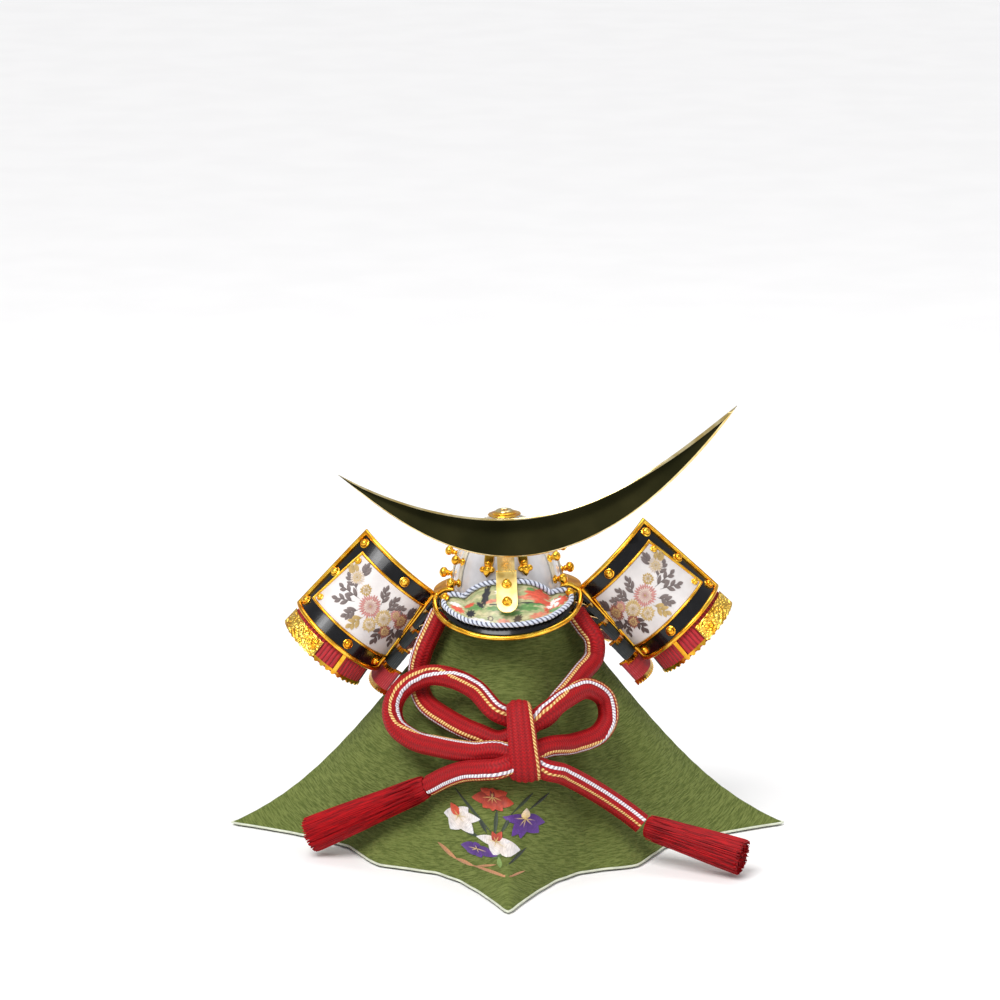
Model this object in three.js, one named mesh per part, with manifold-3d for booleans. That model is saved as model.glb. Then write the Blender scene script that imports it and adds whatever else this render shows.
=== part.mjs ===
// A display kabuto on its cloth-covered stand: white lacquered bowl, gilt fittings, a lopsided
// crescent crest, scrolled turn-backs, laced neck guard, and a thick braided cord tied in a bow.
// Millimetres. +X is right as seen from the front, the front faces -Y and +Z is up. The origin
// is the centre of the stand's base, on the surface that it stands on. Heights of the helmet's
// pieces are above the bowl's rim, below it where they are negative.

import * as THREE from "three";
import { mergeVertices } from "three/addons/utils/BufferGeometryUtils.js";
import Module from "manifold-3d";

const wasm = await Module();
wasm.setup();

// Driving sizes. Angles are in degrees, and azimuths are counted from the front.
const gap = 0.3;

const stand = { baseRadius: 60, baseHeight: 6, postRadius: 10, neckHeight: 28 };

const bowl = {
  side: 28.5,
  front: 31,
  height: 41,
  wall: 1.2,
  rimHeight: 128,
};

const cloth = { wall: 1.5, cornerReach: 146, roundReach: 118, ridge: 24, hemLift: 0.1 };
// The hem from a corner to the middle of a side: turn from the corner, reach as a share of it.
const hemRows = [
  { turn: 0, reachShare: 1 },
  { turn: 4, reachShare: 0.88 },
  { turn: 8, reachShare: 0.79 },
  { turn: 15, reachShare: 0.69 },
  { turn: 25, reachShare: 0.63 },
  { turn: 35, reachShare: 0.64 },
  { turn: 45, reachShare: 0.67 },
];
// How the cloth spreads as it falls: a steady part and a late flare at the hem.
const spread = {
  steadyShare: 0.86,
  steadyPower: 1.12,
  flarePower: 8,
  hemPower: 4,
  tuckShare: 0.03,
};

const rib = { width: 3.4, wall: 1, aboveFlangeAngle: 2, highAngle: 70 };
const ribAzimuths = [-140, -100, -60, 60, 100, 140, 180];
const knob = { seat: 1.9, stem: 1, ball: 2.3, ballTop: 3, reach: 7.6 };
// Knobs up each rib: height as an angle up the bowl, size as a share of the lowest knob.
const knobRows = [
  { riseAngle: 13, sizeShare: 1 },
  { riseAngle: 29, sizeShare: 0.93 },
  { riseAngle: 45, sizeShare: 0.8 },
];
const spear = { azimuth: 21, width: 5.2, wall: 1, lowAngle: 26, highAngle: 70, bulb: 2.9 };
const crown = { radius: 8.6, height: 2.8, hole: 2 };
// The crown fitting's steps from its foot up, as shares of its radius and height.
const crownRows = [
  { radiusShare: 1, riseShare: 0 },
  { radiusShare: 1, riseShare: 0.24 },
  { radiusShare: 0.72, riseShare: 0.3 },
  { radiusShare: 0.72, riseShare: 0.56 },
  { radiusShare: 0.5, riseShare: 0.6 },
  { radiusShare: 0.5, riseShare: 0.85 },
  { radiusShare: 0.42, riseShare: 1 },
];
const flange = { radius: 38.6, drop: 3.4, wall: 1.2, openingAngle: 78, riseAngle: 8 };

const visor = {
  halfWidth: 35.6,
  rimFront: 54.6,
  rimSide: 17.5,
  rimLow: -8.8,
  rimHigh: 0.8,
  rootHigh: 14.8,
  rootSide: 2.4,
  endAngle: 86,
  wall: 1.2,
  bulge: 1.5,
  bead: 1.3,
  border: 4.1,
  braid: 1.15,
  braidGap: 1.3,
  leatherWall: 0.6,
};
// The visor's bead: its turns along the front, round each end and in along the root.
const beadTurns = { front: [0, 13, 26, 40, 54, 68, 80], end: 88, root: [76, 67, 61, 55, 48] };
// The visor's root line: place across as a share of the half width, rise as a share.
const rootRows = [
  { acrossShare: 0, riseShare: 1 },
  { acrossShare: 0.19, riseShare: 0.97 },
  { acrossShare: 0.33, riseShare: 0.87 },
  { acrossShare: 0.46, riseShare: 0.65 },
  { acrossShare: 0.55, riseShare: 0.38 },
  { acrossShare: 0.61, riseShare: 0.2 },
  { acrossShare: 0.7, riseShare: 0.28 },
  { acrossShare: 0.8, riseShare: 0.34 },
  { acrossShare: 0.88, riseShare: 0.28 },
  { acrossShare: 0.95, riseShare: 0.1 },
  { acrossShare: 1, riseShare: 0 },
];
const holder = { width: 10.6, wall: 1, lowShare: 0.71, behindCrest: 5.5, knob: 2.5 };

const crescent = {
  left: -83.6,
  leftHeight: 75.4,
  right: 121,
  rightHeight: 102.9,
  plane: 41,
  wall: 1.5,
  tipShare: 0.004,
};
// Sag of each edge below the line from tip to tip: at the middle, and how it leans and flattens.
const crescentEdges = {
  upper: { sag: 39.5, sagLean: 0.6, sagFlat: -4.7, sagTwist: -4.7 },
  lower: { sag: 59.8, sagLean: -2.3, sagFlat: -1.3, sagTwist: 6.2 },
};

const neck = {
  lames: 5,
  topHeight: 0.4,
  lowHeight: -44,
  topRadius: 36.2,
  slope: 0.84,
  overlap: 1.6,
  shingle: 1.05,
  wall: 1,
  openingAngle: 78,
  openingStepAngle: 4,
};

// Turn-back: where its root edge starts and ends, and the arcs of its two long edges.
const wing = {
  rootTop: [37, -11.6, 3.6],
  rootLow: [71, -6.4, -37.1],
  topRadius: 41.7,
  topFromAngle: 69.2,
  topToAngle: 141.2,
  lowRadius: 26.4,
  lowFromAngle: 9.5,
  lowToAngle: 175.9,
  riseAngle: 42.8,
  wall: 1,
  rim: 2.2,
  band: 6.6,
  rootBand: 0.6,
  innerRim: 1.5,
  rimWall: 1.2,
  rimGap: 0.5,
  panelWall: 0.6,
};
// Studs on the black band, as shares of its middle line from root to free edge and from top
// to bottom.
const wingStuds = [
  { along: 0.3, down: 0 },
  { along: 1, down: 0 },
  { along: 1, down: 0.5 },
  { along: 1, down: 1 },
  { along: 0.42, down: 1 },
  { along: 0.08, down: 1 },
];
const stud = { radius: 2.5, height: 1.9 };
// The smaller turn-back and its gilt plate, as shares of the turn-back along and down.
const turnback = { rootShare: 0.1, fromShare: 0.84, toShare: 1.21, wall: 1 };
const gilt = { fromShare: 0.62, toShare: 0.985, lowShare: 1.04, highShare: 1.2, wall: 0.8 };

// The helmet sits turned a little on the stand, its right side up.
const rollAngle = 2.4;

const cord = { diameter: 10.5, step: 10, sides: 8 };
// Centre lines of the tied cord, each from the helmet or the knot outwards.
const cordPoints = {
  cord_neck_left: [
    [-35, -17, 121], [-39, -20, 113], [-44, -24, 102.5], [-46.5, -25, 91],
    [-43.5, -38, 80], [-30, -55, 74], [-15, -70, 71], [-2.8, -76.3, 69.4],
  ],
  cord_loop_left: [
    [-4.5, -76, 84], [-16.6, -63, 92.5], [-29.2, -51.5, 95.5], [-41, -45.5, 95],
    [-53.5, -42, 88], [-59.4, -41, 77.5], [-58, -45, 68.5], [-49, -53, 63],
    [-35.2, -65, 62.5], [-17, -81.5, 64.5], [-4.5, -87, 66.5],
  ],
  cord_tail_left: [
    [-4.4, -97.5, 61], [-12, -94.3, 59.2], [-22, -85.5, 55.8], [-31, -75.6, 49.9], [-39.6, -67.3, 42.9],
  ],
  cord_neck_right: [
    [35, -17, 121], [40, -20, 114.5], [44.6, -23, 108.5], [44.8, -25, 99.8],
    [38, -36, 93.5], [28, -53, 86], [16, -69.1, 78.2],
  ],
  cord_loop_right: [
    [19.5, -77.5, 84.5], [29.2, -67.5, 89], [40.6, -54, 90.5], [50, -46, 82.8],
    [51.7, -48, 73.5], [46.8, -56, 67], [33.8, -67, 65], [19.5, -82.5, 67.5],
  ],
  cord_tail_right: [[19.3, -92, 58.5], [28, -84.5, 54], [46, -71, 40], [61, -65.5, 28], [69, -67, 22]],
};
const knot = { centre: [7.2, -86, 72], width: 18.4, depth: 27, length: 42, tiltAngle: 25.5 };
// Tassels: where the cord ends, where the cut ends of the fringe lie, and the radius there.
const tassel = { endRadius: 9.6, locks: 7, lockDepth: 0.7, sides: 14 };
// A tassel's outline from the cord to the cut ends, as shares of its length and end radius.
const tasselRows = [
  { alongShare: 0, radiusShare: 0.55 },
  { alongShare: 0.04, radiusShare: 0.66 },
  { alongShare: 0.3, radiusShare: 0.74 },
  { alongShare: 0.7, radiusShare: 0.92 },
  { alongShare: 0.97, radiusShare: 1 },
  { alongShare: 1, radiusShare: 0.8 },
];
const tasselEnds = {
  tassel_left: { from: [-41.6, -66, 41.6], to: [-101, -50, 11] },
  tassel_right: { from: [71.4, -67.8, 20.9], to: [119, -88, 11] },
};

// Finishes, with the photograph's colours.
const finish = (color, roughness, metalness) =>
  new THREE.MeshStandardMaterial({ color, roughness, metalness });
const looks = {
  wood: finish(0xc8a878, 0.6, 0),
  cloth: finish(0x6f7f3f, 0.95, 0),
  white: finish(0xf0edeb, 0.25, 0),
  gold: finish(0xd9a12b, 0.25, 1),
  silver: finish(0xd8d2c4, 0.3, 1),
  crest: finish(0x6b6340, 0.22, 1),
  black: finish(0x14161a, 0.25, 0),
  print: finish(0xb9b58c, 0.6, 0),
  braid: finish(0xaab2c8, 0.7, 0),
  leather: finish(0xe9e4e0, 0.55, 0),
  lacing: finish(0x7a1420, 0.8, 0),
  cord: finish(0xb3121f, 0.7, 0),
};

const degrees = THREE.MathUtils.degToRad;
const mix = THREE.MathUtils.lerp;
const clamp = THREE.MathUtils.clamp;
const vector = (x, y, z) => new THREE.Vector3(x, y, z);

// The value of one column of a table of rows at a place in another column, by straight steps.
function lookUp(rows, placeColumn, valueColumn, place) {
  let k = 1;
  while (k < rows.length - 1 && rows[k][placeColumn] < place) k += 1;
  const before = rows[k - 1];
  const after = rows[k];
  const share = (place - before[placeColumn]) / (after[placeColumn] - before[placeColumn]);
  return mix(before[valueColumn], after[valueColumn], clamp(share, 0, 1));
}

// A closed solid from corner points and faces: points that coincide are merged, faces that
// collapse are dropped, and the faces are turned round if they point inwards.
function solid(points, quads) {
  const keys = new Map();
  const kept = [];
  const merged = points.map((p) => {
    const key = [p.x, p.y, p.z].map((c) => Math.round(c * 1000)).join(" ");
    if (!keys.has(key)) {
      keys.set(key, kept.length);
      kept.push(p);
    }
    return keys.get(key);
  });
  const faces = [];
  for (const [a, b, c, d] of quads) {
    for (const face of [[a, b, c], [a, c, d]]) {
      const [i, j, k] = face.map((n) => merged[n]);
      if (i !== j && j !== k && k !== i) faces.push([i, j, k]);
    }
  }
  const volume = faces.reduce(
    (sum, [i, j, k]) => sum + kept[i].dot(vector(0, 0, 0).crossVectors(kept[j], kept[k])),
    0,
  );
  const turned = volume < 0 ? faces.map(([i, j, k]) => [i, k, j]) : faces;
  const geometry = new THREE.BufferGeometry();
  const places = kept.flatMap((p) => [p.x, p.y, p.z]);
  geometry.setAttribute("position", new THREE.Float32BufferAttribute(places, 3));
  geometry.setIndex(turned.flat());
  return geometry;
}

// The unit normal of a surface at(u, v), from small steps to each side of the place.
function normalOf(at, u, v) {
  const step = 1e-3;
  const alongU = at(u + step, v).sub(at(u - step, v));
  const alongV = at(u, v + step).sub(at(u, v - step));
  return alongU.cross(alongV).normalize();
}

// A sheet of even wall along a surface at(u, v). Its outer face stands off by lift, to the side
// that `out` picks. A loop closes on itself in u, and a capped sheet comes to a point at v = 0.
function sheet(at, columns, rows, wall, { lift = 0, loop = false, cap = false, out = 1 } = {}) {
  const rings = loop ? columns : columns + 1;
  const points = [];
  for (let i = 0; i < rings; i += 1) {
    for (let j = 0; j <= rows; j += 1) {
      const u = i / columns;
      const v = j / rows;
      const normal = cap && j === 0 ? vector(0, 0, 1) : normalOf(at, u, v).multiplyScalar(out);
      points.push(at(u, v).addScaledVector(normal, lift));
      points.push(at(u, v).addScaledVector(normal, lift - wall));
    }
  }
  const place = (i, j, side) => 2 * ((i % rings) * (rows + 1) + j) + side;
  const quads = [];
  for (let i = 0; i < columns; i += 1) {
    for (let j = 0; j < rows; j += 1) {
      quads.push([place(i, j, 0), place(i + 1, j, 0), place(i + 1, j + 1, 0), place(i, j + 1, 0)]);
      quads.push([place(i, j, 1), place(i, j + 1, 1), place(i + 1, j + 1, 1), place(i + 1, j, 1)]);
    }
    if (!cap) quads.push([place(i, 0, 0), place(i, 0, 1), place(i + 1, 0, 1), place(i + 1, 0, 0)]);
    quads.push([
      place(i, rows, 0), place(i + 1, rows, 0), place(i + 1, rows, 1), place(i, rows, 1),
    ]);
  }
  if (!loop) {
    for (let j = 0; j < rows; j += 1) {
      quads.push([place(0, j, 0), place(0, j + 1, 0), place(0, j + 1, 1), place(0, j, 1)]);
      quads.push([
        place(columns, j, 0), place(columns, j, 1), place(columns, j + 1, 1), place(columns, j + 1, 0),
      ]);
    }
  }
  return solid(points, quads);
}

// A bead of round section along an open path of points.
function bead(points, radius, sides, steps) {
  const path = new THREE.CatmullRomCurve3(points, false, "centripetal");
  const section = new THREE.Shape();
  for (let k = 0; k < sides; k += 1) {
    const turn = (2 * Math.PI * k) / sides;
    const x = radius * Math.cos(turn);
    const y = radius * Math.sin(turn);
    if (k === 0) section.moveTo(x, y);
    else section.lineTo(x, y);
  }
  section.closePath();
  return new THREE.ExtrudeGeometry(section, { steps, bevelEnabled: false, extrudePath: path });
}

// A bead that closes on itself along at(u), with the surface's normal to hold its section.
function hoop(at, normalAt, radius, sides, steps) {
  const points = [];
  const quads = [];
  for (let i = 0; i < steps; i += 1) {
    const u = i / steps;
    const normal = normalAt(u);
    const along = at(u + 1e-3).sub(at(u - 1e-3)).normalize();
    const across = vector(0, 0, 0).crossVectors(along, normal).normalize();
    for (let k = 0; k < sides; k += 1) {
      const turn = (2 * Math.PI * k) / sides;
      const place = at(u).addScaledVector(across, radius * Math.cos(turn));
      points.push(place.addScaledVector(normal, radius * Math.sin(turn)));
      const next = (k + 1) % sides;
      const ring = ((i + 1) % steps) * sides;
      quads.push([i * sides + k, ring + k, ring + next, i * sides + next]);
    }
  }
  return solid(points, quads);
}

// One solid from geometries that overlap.
function fuse(...geometries) {
  const joined = geometries
    .map((geometry) => {
      const bare = geometry.index ? geometry.toNonIndexed() : geometry.clone();
      for (const name of Object.keys(bare.attributes)) {
        if (name !== "position") bare.deleteAttribute(name);
      }
      const merged = mergeVertices(bare, 1e-4);
      return new wasm.Manifold(
        new wasm.Mesh({
          numProp: 3,
          vertProperties: merged.attributes.position.array,
          triVerts: new Uint32Array(merged.index.array),
        }),
      );
    })
    .reduce((whole, piece) => whole.add(piece))
    .getMesh();
  const geometry = new THREE.BufferGeometry();
  geometry.setAttribute("position", new THREE.BufferAttribute(joined.vertProperties, 3));
  geometry.setIndex(new THREE.BufferAttribute(joined.triVerts, 1));
  return geometry;
}

// A turned piece placed on a surface: its axis stands along the normal there.
function standOn(geometry, place, normal) {
  const turn = new THREE.Quaternion().setFromUnitVectors(vector(0, 0, 1), normal);
  return geometry.applyQuaternion(turn).translate(place.x, place.y, place.z);
}

// A turned piece about +Z from rows of radius and height that start and end on the axis.
function turned(rows, sides) {
  const profile = rows.map(([radius, height]) => new THREE.Vector2(radius, height));
  return new THREE.LatheGeometry(profile, sides).rotateX(Math.PI / 2);
}

const group = new THREE.Group();
const helmet = new THREE.Group();
const aboutSeat = new THREE.Group();
aboutSeat.position.z = bowl.rimHeight;
aboutSeat.rotation.y = -degrees(rollAngle);
helmet.position.z = -bowl.rimHeight;
aboutSeat.add(helmet);
group.add(aboutSeat);

function piece(parent, name, geometry, look) {
  const mesh = new THREE.Mesh(geometry, look);
  mesh.name = name;
  parent.add(mesh);
}

// The bowl's surface: an azimuth and a rise above the rim, standing off by a distance.
function bowlPoint(azimuth, rise, off = 0) {
  const around = degrees(azimuth);
  const up = degrees(rise);
  return vector(
    (bowl.side + off) * Math.sin(around) * Math.cos(up),
    -(bowl.front + off) * Math.cos(around) * Math.cos(up),
    bowl.rimHeight + (bowl.height + off) * Math.sin(up),
  );
}

function bowlNormal(azimuth, rise) {
  const p = bowlPoint(azimuth, rise);
  return vector(
    p.x / bowl.side ** 2,
    p.y / bowl.front ** 2,
    (p.z - bowl.rimHeight) / bowl.height ** 2,
  ).normalize();
}

// Stand: base, post and the padded head under the cloth, which leave the turned bowl room.
const rollRoom = (bowl.height - bowl.side) * Math.sin(degrees(rollAngle));
const clothInset = bowl.wall + gap + rollRoom;
const layers = clothInset + cloth.wall + gap;
const headSide = bowl.side - layers;
const headFront = bowl.front - layers;
const headHeight = bowl.height - layers;
const headLow = bowl.rimHeight - stand.neckHeight;
const headRows = 4;

function standBase() {
  return new THREE.CylinderGeometry(stand.baseRadius, stand.baseRadius, stand.baseHeight, 32)
    .rotateX(Math.PI / 2)
    .translate(0, 0, stand.baseHeight / 2);
}

function standPost() {
  const low = stand.baseHeight + gap;
  const height = headLow - gap - low;
  return new THREE.CylinderGeometry(stand.postRadius, stand.postRadius, height, 16)
    .rotateX(Math.PI / 2)
    .translate(0, 0, low + height / 2);
}

function standHead() {
  const rows = [[0, headLow], [headSide, headLow]];
  for (let k = 0; k <= headRows; k += 1) {
    const up = (Math.PI / 2) * (k / headRows);
    const radius = k === headRows ? 0 : headSide * Math.cos(up);
    rows.push([radius, bowl.rimHeight + headHeight * Math.sin(up)]);
  }
  return turned(rows, 20).scale(1, headFront / headSide, 1);
}

// The square cloth, corners to the front, back and sides. u goes round from the front corner
// and v runs from the middle of the cloth, over the head of the stand, down to the hem.
const overHeadShare = 0.25;
function clothReach(azimuth) {
  const turn = Math.abs(((((azimuth + 45) % 90) + 90) % 90) - 45);
  return cloth.cornerReach * lookUp(hemRows, "turn", "reachShare", turn);
}

function clothPoint(azimuth, v) {
  if (v < overHeadShare) return bowlPoint(azimuth, 90 * (1 - v / overHeadShare), -clothInset);
  const fall = (v - overHeadShare) / (1 - overHeadShare);
  const rim = bowlPoint(azimuth, 0, -clothInset);
  const start = Math.hypot(rim.x, rim.y);
  const free = Math.max(0, fall - spread.tuckShare) / (1 - spread.tuckShare);
  const grown = spread.steadyShare * free ** spread.steadyPower
    + (1 - spread.steadyShare) * free ** spread.flarePower;
  const round = cloth.roundReach + cloth.ridge * Math.cos(degrees(4 * azimuth));
  const reach = mix(round, clothReach(azimuth), fall ** spread.hemPower);
  const radius = mix(start, reach, grown);
  const low = cloth.wall + cloth.hemLift;
  const height = mix(bowl.rimHeight, low, fall);
  return vector(radius * rim.x / start, radius * rim.y / start, height);
}

// Azimuths are packed towards the four corners, where the hem turns sharply.
function packed(u) {
  const quarter = Math.floor(4 * u + 0.5);
  const share = 4 * u - quarter;
  const eased = 0.5 * Math.sign(share) * (2 * Math.abs(share)) ** 1.5;
  return 90 * (quarter + eased);
}

// Rows of the cloth's mesh: over the head, a short straight tuck under the bowl, then the fall.
function clothRows(overRows, fallRows) {
  const places = [];
  for (let k = 0; k <= overRows; k += 1) places.push((overHeadShare * k) / overRows);
  for (let k = 0; k <= fallRows; k += 1)
    places.push(mix(overHeadShare, 1, mix(spread.tuckShare, 1, k / fallRows)));
  return places;
}

function drapeCloth() {
  const columns = 40;
  const places = clothRows(headRows, 8);
  const rows = places.length - 1;
  const points = [];
  for (let i = 0; i < columns; i += 1) {
    const azimuth = packed(i / columns);
    for (let j = 0; j <= rows; j += 1) {
      const v = places[j];
      const outer = clothPoint(azimuth, v);
      const normal = clothNormal(azimuth, v);
      points.push(outer);
      points.push(outer.clone().addScaledVector(normal, -cloth.wall));
    }
  }
  const place = (i, j, side) => 2 * ((i % columns) * (rows + 1) + j) + side;
  const quads = [];
  for (let i = 0; i < columns; i += 1) {
    for (let j = 0; j < rows; j += 1) {
      quads.push([place(i, j, 0), place(i + 1, j, 0), place(i + 1, j + 1, 0), place(i, j + 1, 0)]);
      quads.push([place(i, j, 1), place(i, j + 1, 1), place(i + 1, j + 1, 1), place(i + 1, j, 1)]);
    }
    quads.push([
      place(i, rows, 0), place(i + 1, rows, 0), place(i + 1, rows, 1), place(i, rows, 1),
    ]);
  }
  return solid(points, quads);
}

// Straight up at the crown and at the hem, so that the wall stays even and the hem lies flat.
function clothNormal(azimuth, v) {
  if (v === 0 || v === 1) return vector(0, 0, 1);
  const step = 0.01;
  const round = clothPoint(azimuth + 1, v).sub(clothPoint(azimuth - 1, v));
  const down = clothPoint(azimuth, v + step).sub(clothPoint(azimuth, v - step));
  return down.cross(round).normalize();
}

// Bowl with its ribs, knobs, gilt spears, crown fitting and rim flange.
function bowlShell() {
  const at = (u, v) => bowlPoint(360 * u, 90 * (1 - v));
  return sheet(at, 24, 6, bowl.wall, { loop: true, cap: true, out: -1 });
}

function knobAt(azimuth, rise, size) {
  const { seat, stem, ball, ballTop, reach } = knob;
  const shape = turned(
    [[0, 0], [seat, 0], [stem, seat], [stem, reach - 2 * ball], [ball, reach - ballTop], [0, reach]]
      .map(([radius, height]) => [radius * size, height * size]),
    6,
  );
  const normal = bowlNormal(azimuth, rise);
  return standOn(shape, bowlPoint(azimuth, rise).addScaledVector(normal, gap + rib.wall / 2), normal);
}

function bowlStrip(azimuth, width, low, high, wall, taper) {
  const at = (u, v) => {
    const rise = mix(low, high, v);
    const radius = bowl.side * Math.cos(degrees(rise));
    const turn = THREE.MathUtils.radToDeg((width * taper(v)) / radius);
    return bowlPoint(azimuth + (u - 0.5) * turn, rise);
  };
  return sheet(at, 2, 4, wall, { lift: gap + wall });
}

function ribWithKnobs(azimuth) {
  const low = flange.riseAngle + rib.aboveFlangeAngle;
  const strip = bowlStrip(azimuth, rib.width, low, rib.highAngle, rib.wall, () => 1);
  return fuse(strip, ...knobRows.map((row) => knobAt(azimuth, row.riseAngle, row.sizeShare)));
}

function spearStrip(side) {
  const taper = (v) => mix(0.35, 1, Math.min(1, v * 5));
  const azimuth = side * spear.azimuth;
  const strip = bowlStrip(azimuth, spear.width, spear.lowAngle, spear.highAngle, spear.wall, taper);
  const bulb = new THREE.SphereGeometry(spear.bulb, 8, 5);
  const normal = bowlNormal(azimuth, spear.lowAngle);
  const place = bowlPoint(azimuth, spear.lowAngle).addScaledVector(normal, gap + spear.bulb);
  return fuse(strip, bulb.translate(place.x, place.y, place.z));
}

function crownFitting() {
  const { radius, height, hole } = crown;
  const low = bowl.rimHeight + bowl.height + gap;
  const steps = crownRows.map((row) => [radius * row.radiusShare, height * row.riseShare]);
  const profile = [[hole, 0], ...steps, [hole, height], [hole, 0]]
    .map(([r, h]) => new THREE.Vector2(r, h));
  return new THREE.LatheGeometry(profile, 12).rotateX(Math.PI / 2).translate(0, 0, low);
}

function rimFlange() {
  const at = (u, v) => {
    const azimuth = mix(flange.openingAngle, 360 - flange.openingAngle, u);
    const inner = bowlPoint(azimuth, flange.riseAngle, 2 * gap);
    const around = degrees(azimuth);
    const outer = vector(
      flange.radius * Math.sin(around),
      -flange.radius * Math.cos(around),
      inner.z - flange.drop,
    );
    return inner.lerp(outer, v);
  };
  return sheet(at, 24, 1, flange.wall, { out: -1 });
}

// The visor is fastened to the front of the bowl, clear of it by its own wall.
const visorRootRise = THREE.MathUtils.radToDeg(
  Math.asin(visor.rootHigh / bowl.height),
);
const visorRootFront = visor.wall + gap - bowlPoint(0, visorRootRise).y;

// The visor's surface: turn from -90 at its left end to 90 at its right, down from root to rim.
function visorPoint(turn, down, grow = 0) {
  const around = degrees(turn);
  const x = (visor.halfWidth + grow) * Math.sin(around);
  const ahead = Math.cos(around);
  const share = Math.min(1, Math.abs(Math.sin(around)));
  const rim = vector(
    x,
    -mix(visor.rimSide, visor.rimFront, ahead),
    bowl.rimHeight + mix(visor.rimHigh, visor.rimLow, ahead),
  );
  const root = vector(
    x,
    -mix(visor.rimSide, visorRootFront, ahead ** 3),
    bowl.rimHeight
      + mix(visor.rootSide, visor.rootHigh, lookUp(rootRows, "acrossShare", "riseShare", share)),
  );
  const raised = 4 * visor.bulge * down * (1 - down) * ahead;
  return root.lerp(rim, down).add(vector(0, -raised * Math.SQRT1_2, raised * Math.SQRT1_2));
}

const visorDepth = (turn) => visorPoint(turn, 0).distanceTo(visorPoint(turn, 1));

function visorPlate() {
  const at = (u, v) => visorPoint(mix(-visor.endAngle, visor.endAngle, u), v);
  return sheet(at, 24, 2, visor.wall, { out: -1 });
}

function visorNormal(turn, down) {
  return normalOf((u, v) => visorPoint(u * 100, v), turn / 100, down).negate();
}

// A closed line on the visor that keeps a distance from its edge, with rounded ends.
function visorLoop(u, inset) {
  const around = 2 * Math.PI * u;
  const squared = (c) => Math.sign(c) * Math.abs(c) ** 0.5;
  const end = 90 - THREE.MathUtils.radToDeg(Math.acos(1 - inset / visor.halfWidth));
  const turn = end * squared(Math.cos(around));
  const share = inset / visorDepth(turn);
  return { turn, down: mix(share, 1 - share, 0.5 + 0.5 * squared(Math.sin(around))) };
}

function visorBraid() {
  const lift = visor.braidGap + visor.braid;
  const at = (u) => {
    const { turn, down } = visorLoop(u, visor.border);
    return visorPoint(turn, down).addScaledVector(visorNormal(turn, down), lift);
  };
  const normalAt = (u) => {
    const { turn, down } = visorLoop(u, visor.border);
    return visorNormal(turn, down);
  };
  return hoop(at, normalAt, visor.braid, 5, 32);
}

function visorLeather() {
  const inset = visor.border + visor.braid + 2 * gap;
  const end = 90 - THREE.MathUtils.radToDeg(Math.acos(1 - (inset + 1) / visor.halfWidth));
  const at = (u, v) => {
    const turn = mix(-end, end, u);
    const share = Math.min(0.4, (inset + 0.6) / visorDepth(turn));
    return visorPoint(turn, mix(share, 1 - share, v));
  };
  return sheet(at, 12, 2, visor.leatherWall, { lift: gap + visor.leatherWall, out: -1 });
}

// The gilt bead round the rim, over both ends and in along the root to the notches.
function visorRim() {
  const off = visor.bead + 2 * gap;
  const points = [];
  const alongRoot = (turn) => visorPoint(turn, -(off + gap / 2) / visorDepth(turn), off);
  const alongFront = (turn) => visorPoint(turn, 1 + off / visorDepth(turn), off);
  const left = beadTurns.front.slice(1).map((turn) => -turn);
  [...beadTurns.root].reverse().forEach((turn) => points.push(alongRoot(-turn)));
  points.push(visorPoint(-beadTurns.end, 0.5, off + gap));
  [...left.reverse(), ...beadTurns.front].forEach((turn) => points.push(alongFront(turn)));
  points.push(visorPoint(beadTurns.end, 0.5, off + gap));
  beadTurns.root.forEach((turn) => points.push(alongRoot(turn)));
  return bead(points, visor.bead, 6, 36);
}

// The crest holder: a strap up the middle of the visor that folds and rises behind the crest.
function crestHolder() {
  const lift = visor.braidGap + 2 * visor.braid + gap + holder.wall;
  const onVisor = (down) => visorPoint(0, down).addScaledVector(visorNormal(0, down), lift);
  const middle = -crescent.left / (crescent.right - crescent.left);
  const top = crescentEdge(middle, crescentEdges.lower) + holder.behindCrest;
  const head = vector(0, gap + crescent.wall - crescent.plane, top);
  const at = (u, v) => {
    const path = v < 0.5 ? onVisor(mix(holder.lowShare, 0, 2 * v)) : onVisor(0).lerp(head, 2 * v - 1);
    const rounded = v < 0.125 ? Math.sqrt(1 - (1 - v / 0.125) ** 2 * 0.6) : 1;
    const narrowed = v > 0.5 ? 0.84 : 1;
    return path.add(vector((u - 0.5) * holder.width * rounded * narrowed, 0, 0));
  };
  const strap = sheet(at, 2, 12, holder.wall, {});
  const knobs = [0.17, 0.37].map((v) => {
    const place = at(0.5, v).add(vector(0, -0.9, 0.9));
    return new THREE.SphereGeometry(holder.knob, 8, 5).translate(place.x, place.y, place.z);
  });
  return fuse(strap, ...knobs);
}

// The crescent: a flat plate between two curved edges that meet at the tips.
function crescentEdge(q, edge) {
  const m = 2 * q - 1;
  const depth = edge.sag + edge.sagLean * m + edge.sagFlat * m ** 2 + edge.sagTwist * m ** 3;
  const tips = bowl.rimHeight + mix(crescent.leftHeight, crescent.rightHeight, q);
  return tips - 4 * q * (1 - q) * depth;
}

function crescentPlate() {
  const at = (u, v) => {
    const q = mix(crescent.tipShare, 1 - crescent.tipShare, u);
    const height = mix(crescentEdge(q, crescentEdges.upper), crescentEdge(q, crescentEdges.lower), v);
    return vector(mix(crescent.left, crescent.right, q), -crescent.plane, height);
  };
  return sheet(at, 34, 1, crescent.wall, { out: -1 });
}

// Neck guard: flared lames like shingles round the sides and back.
const neckRadius = (height) => neck.topRadius + neck.slope * (neck.topHeight - height);

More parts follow.
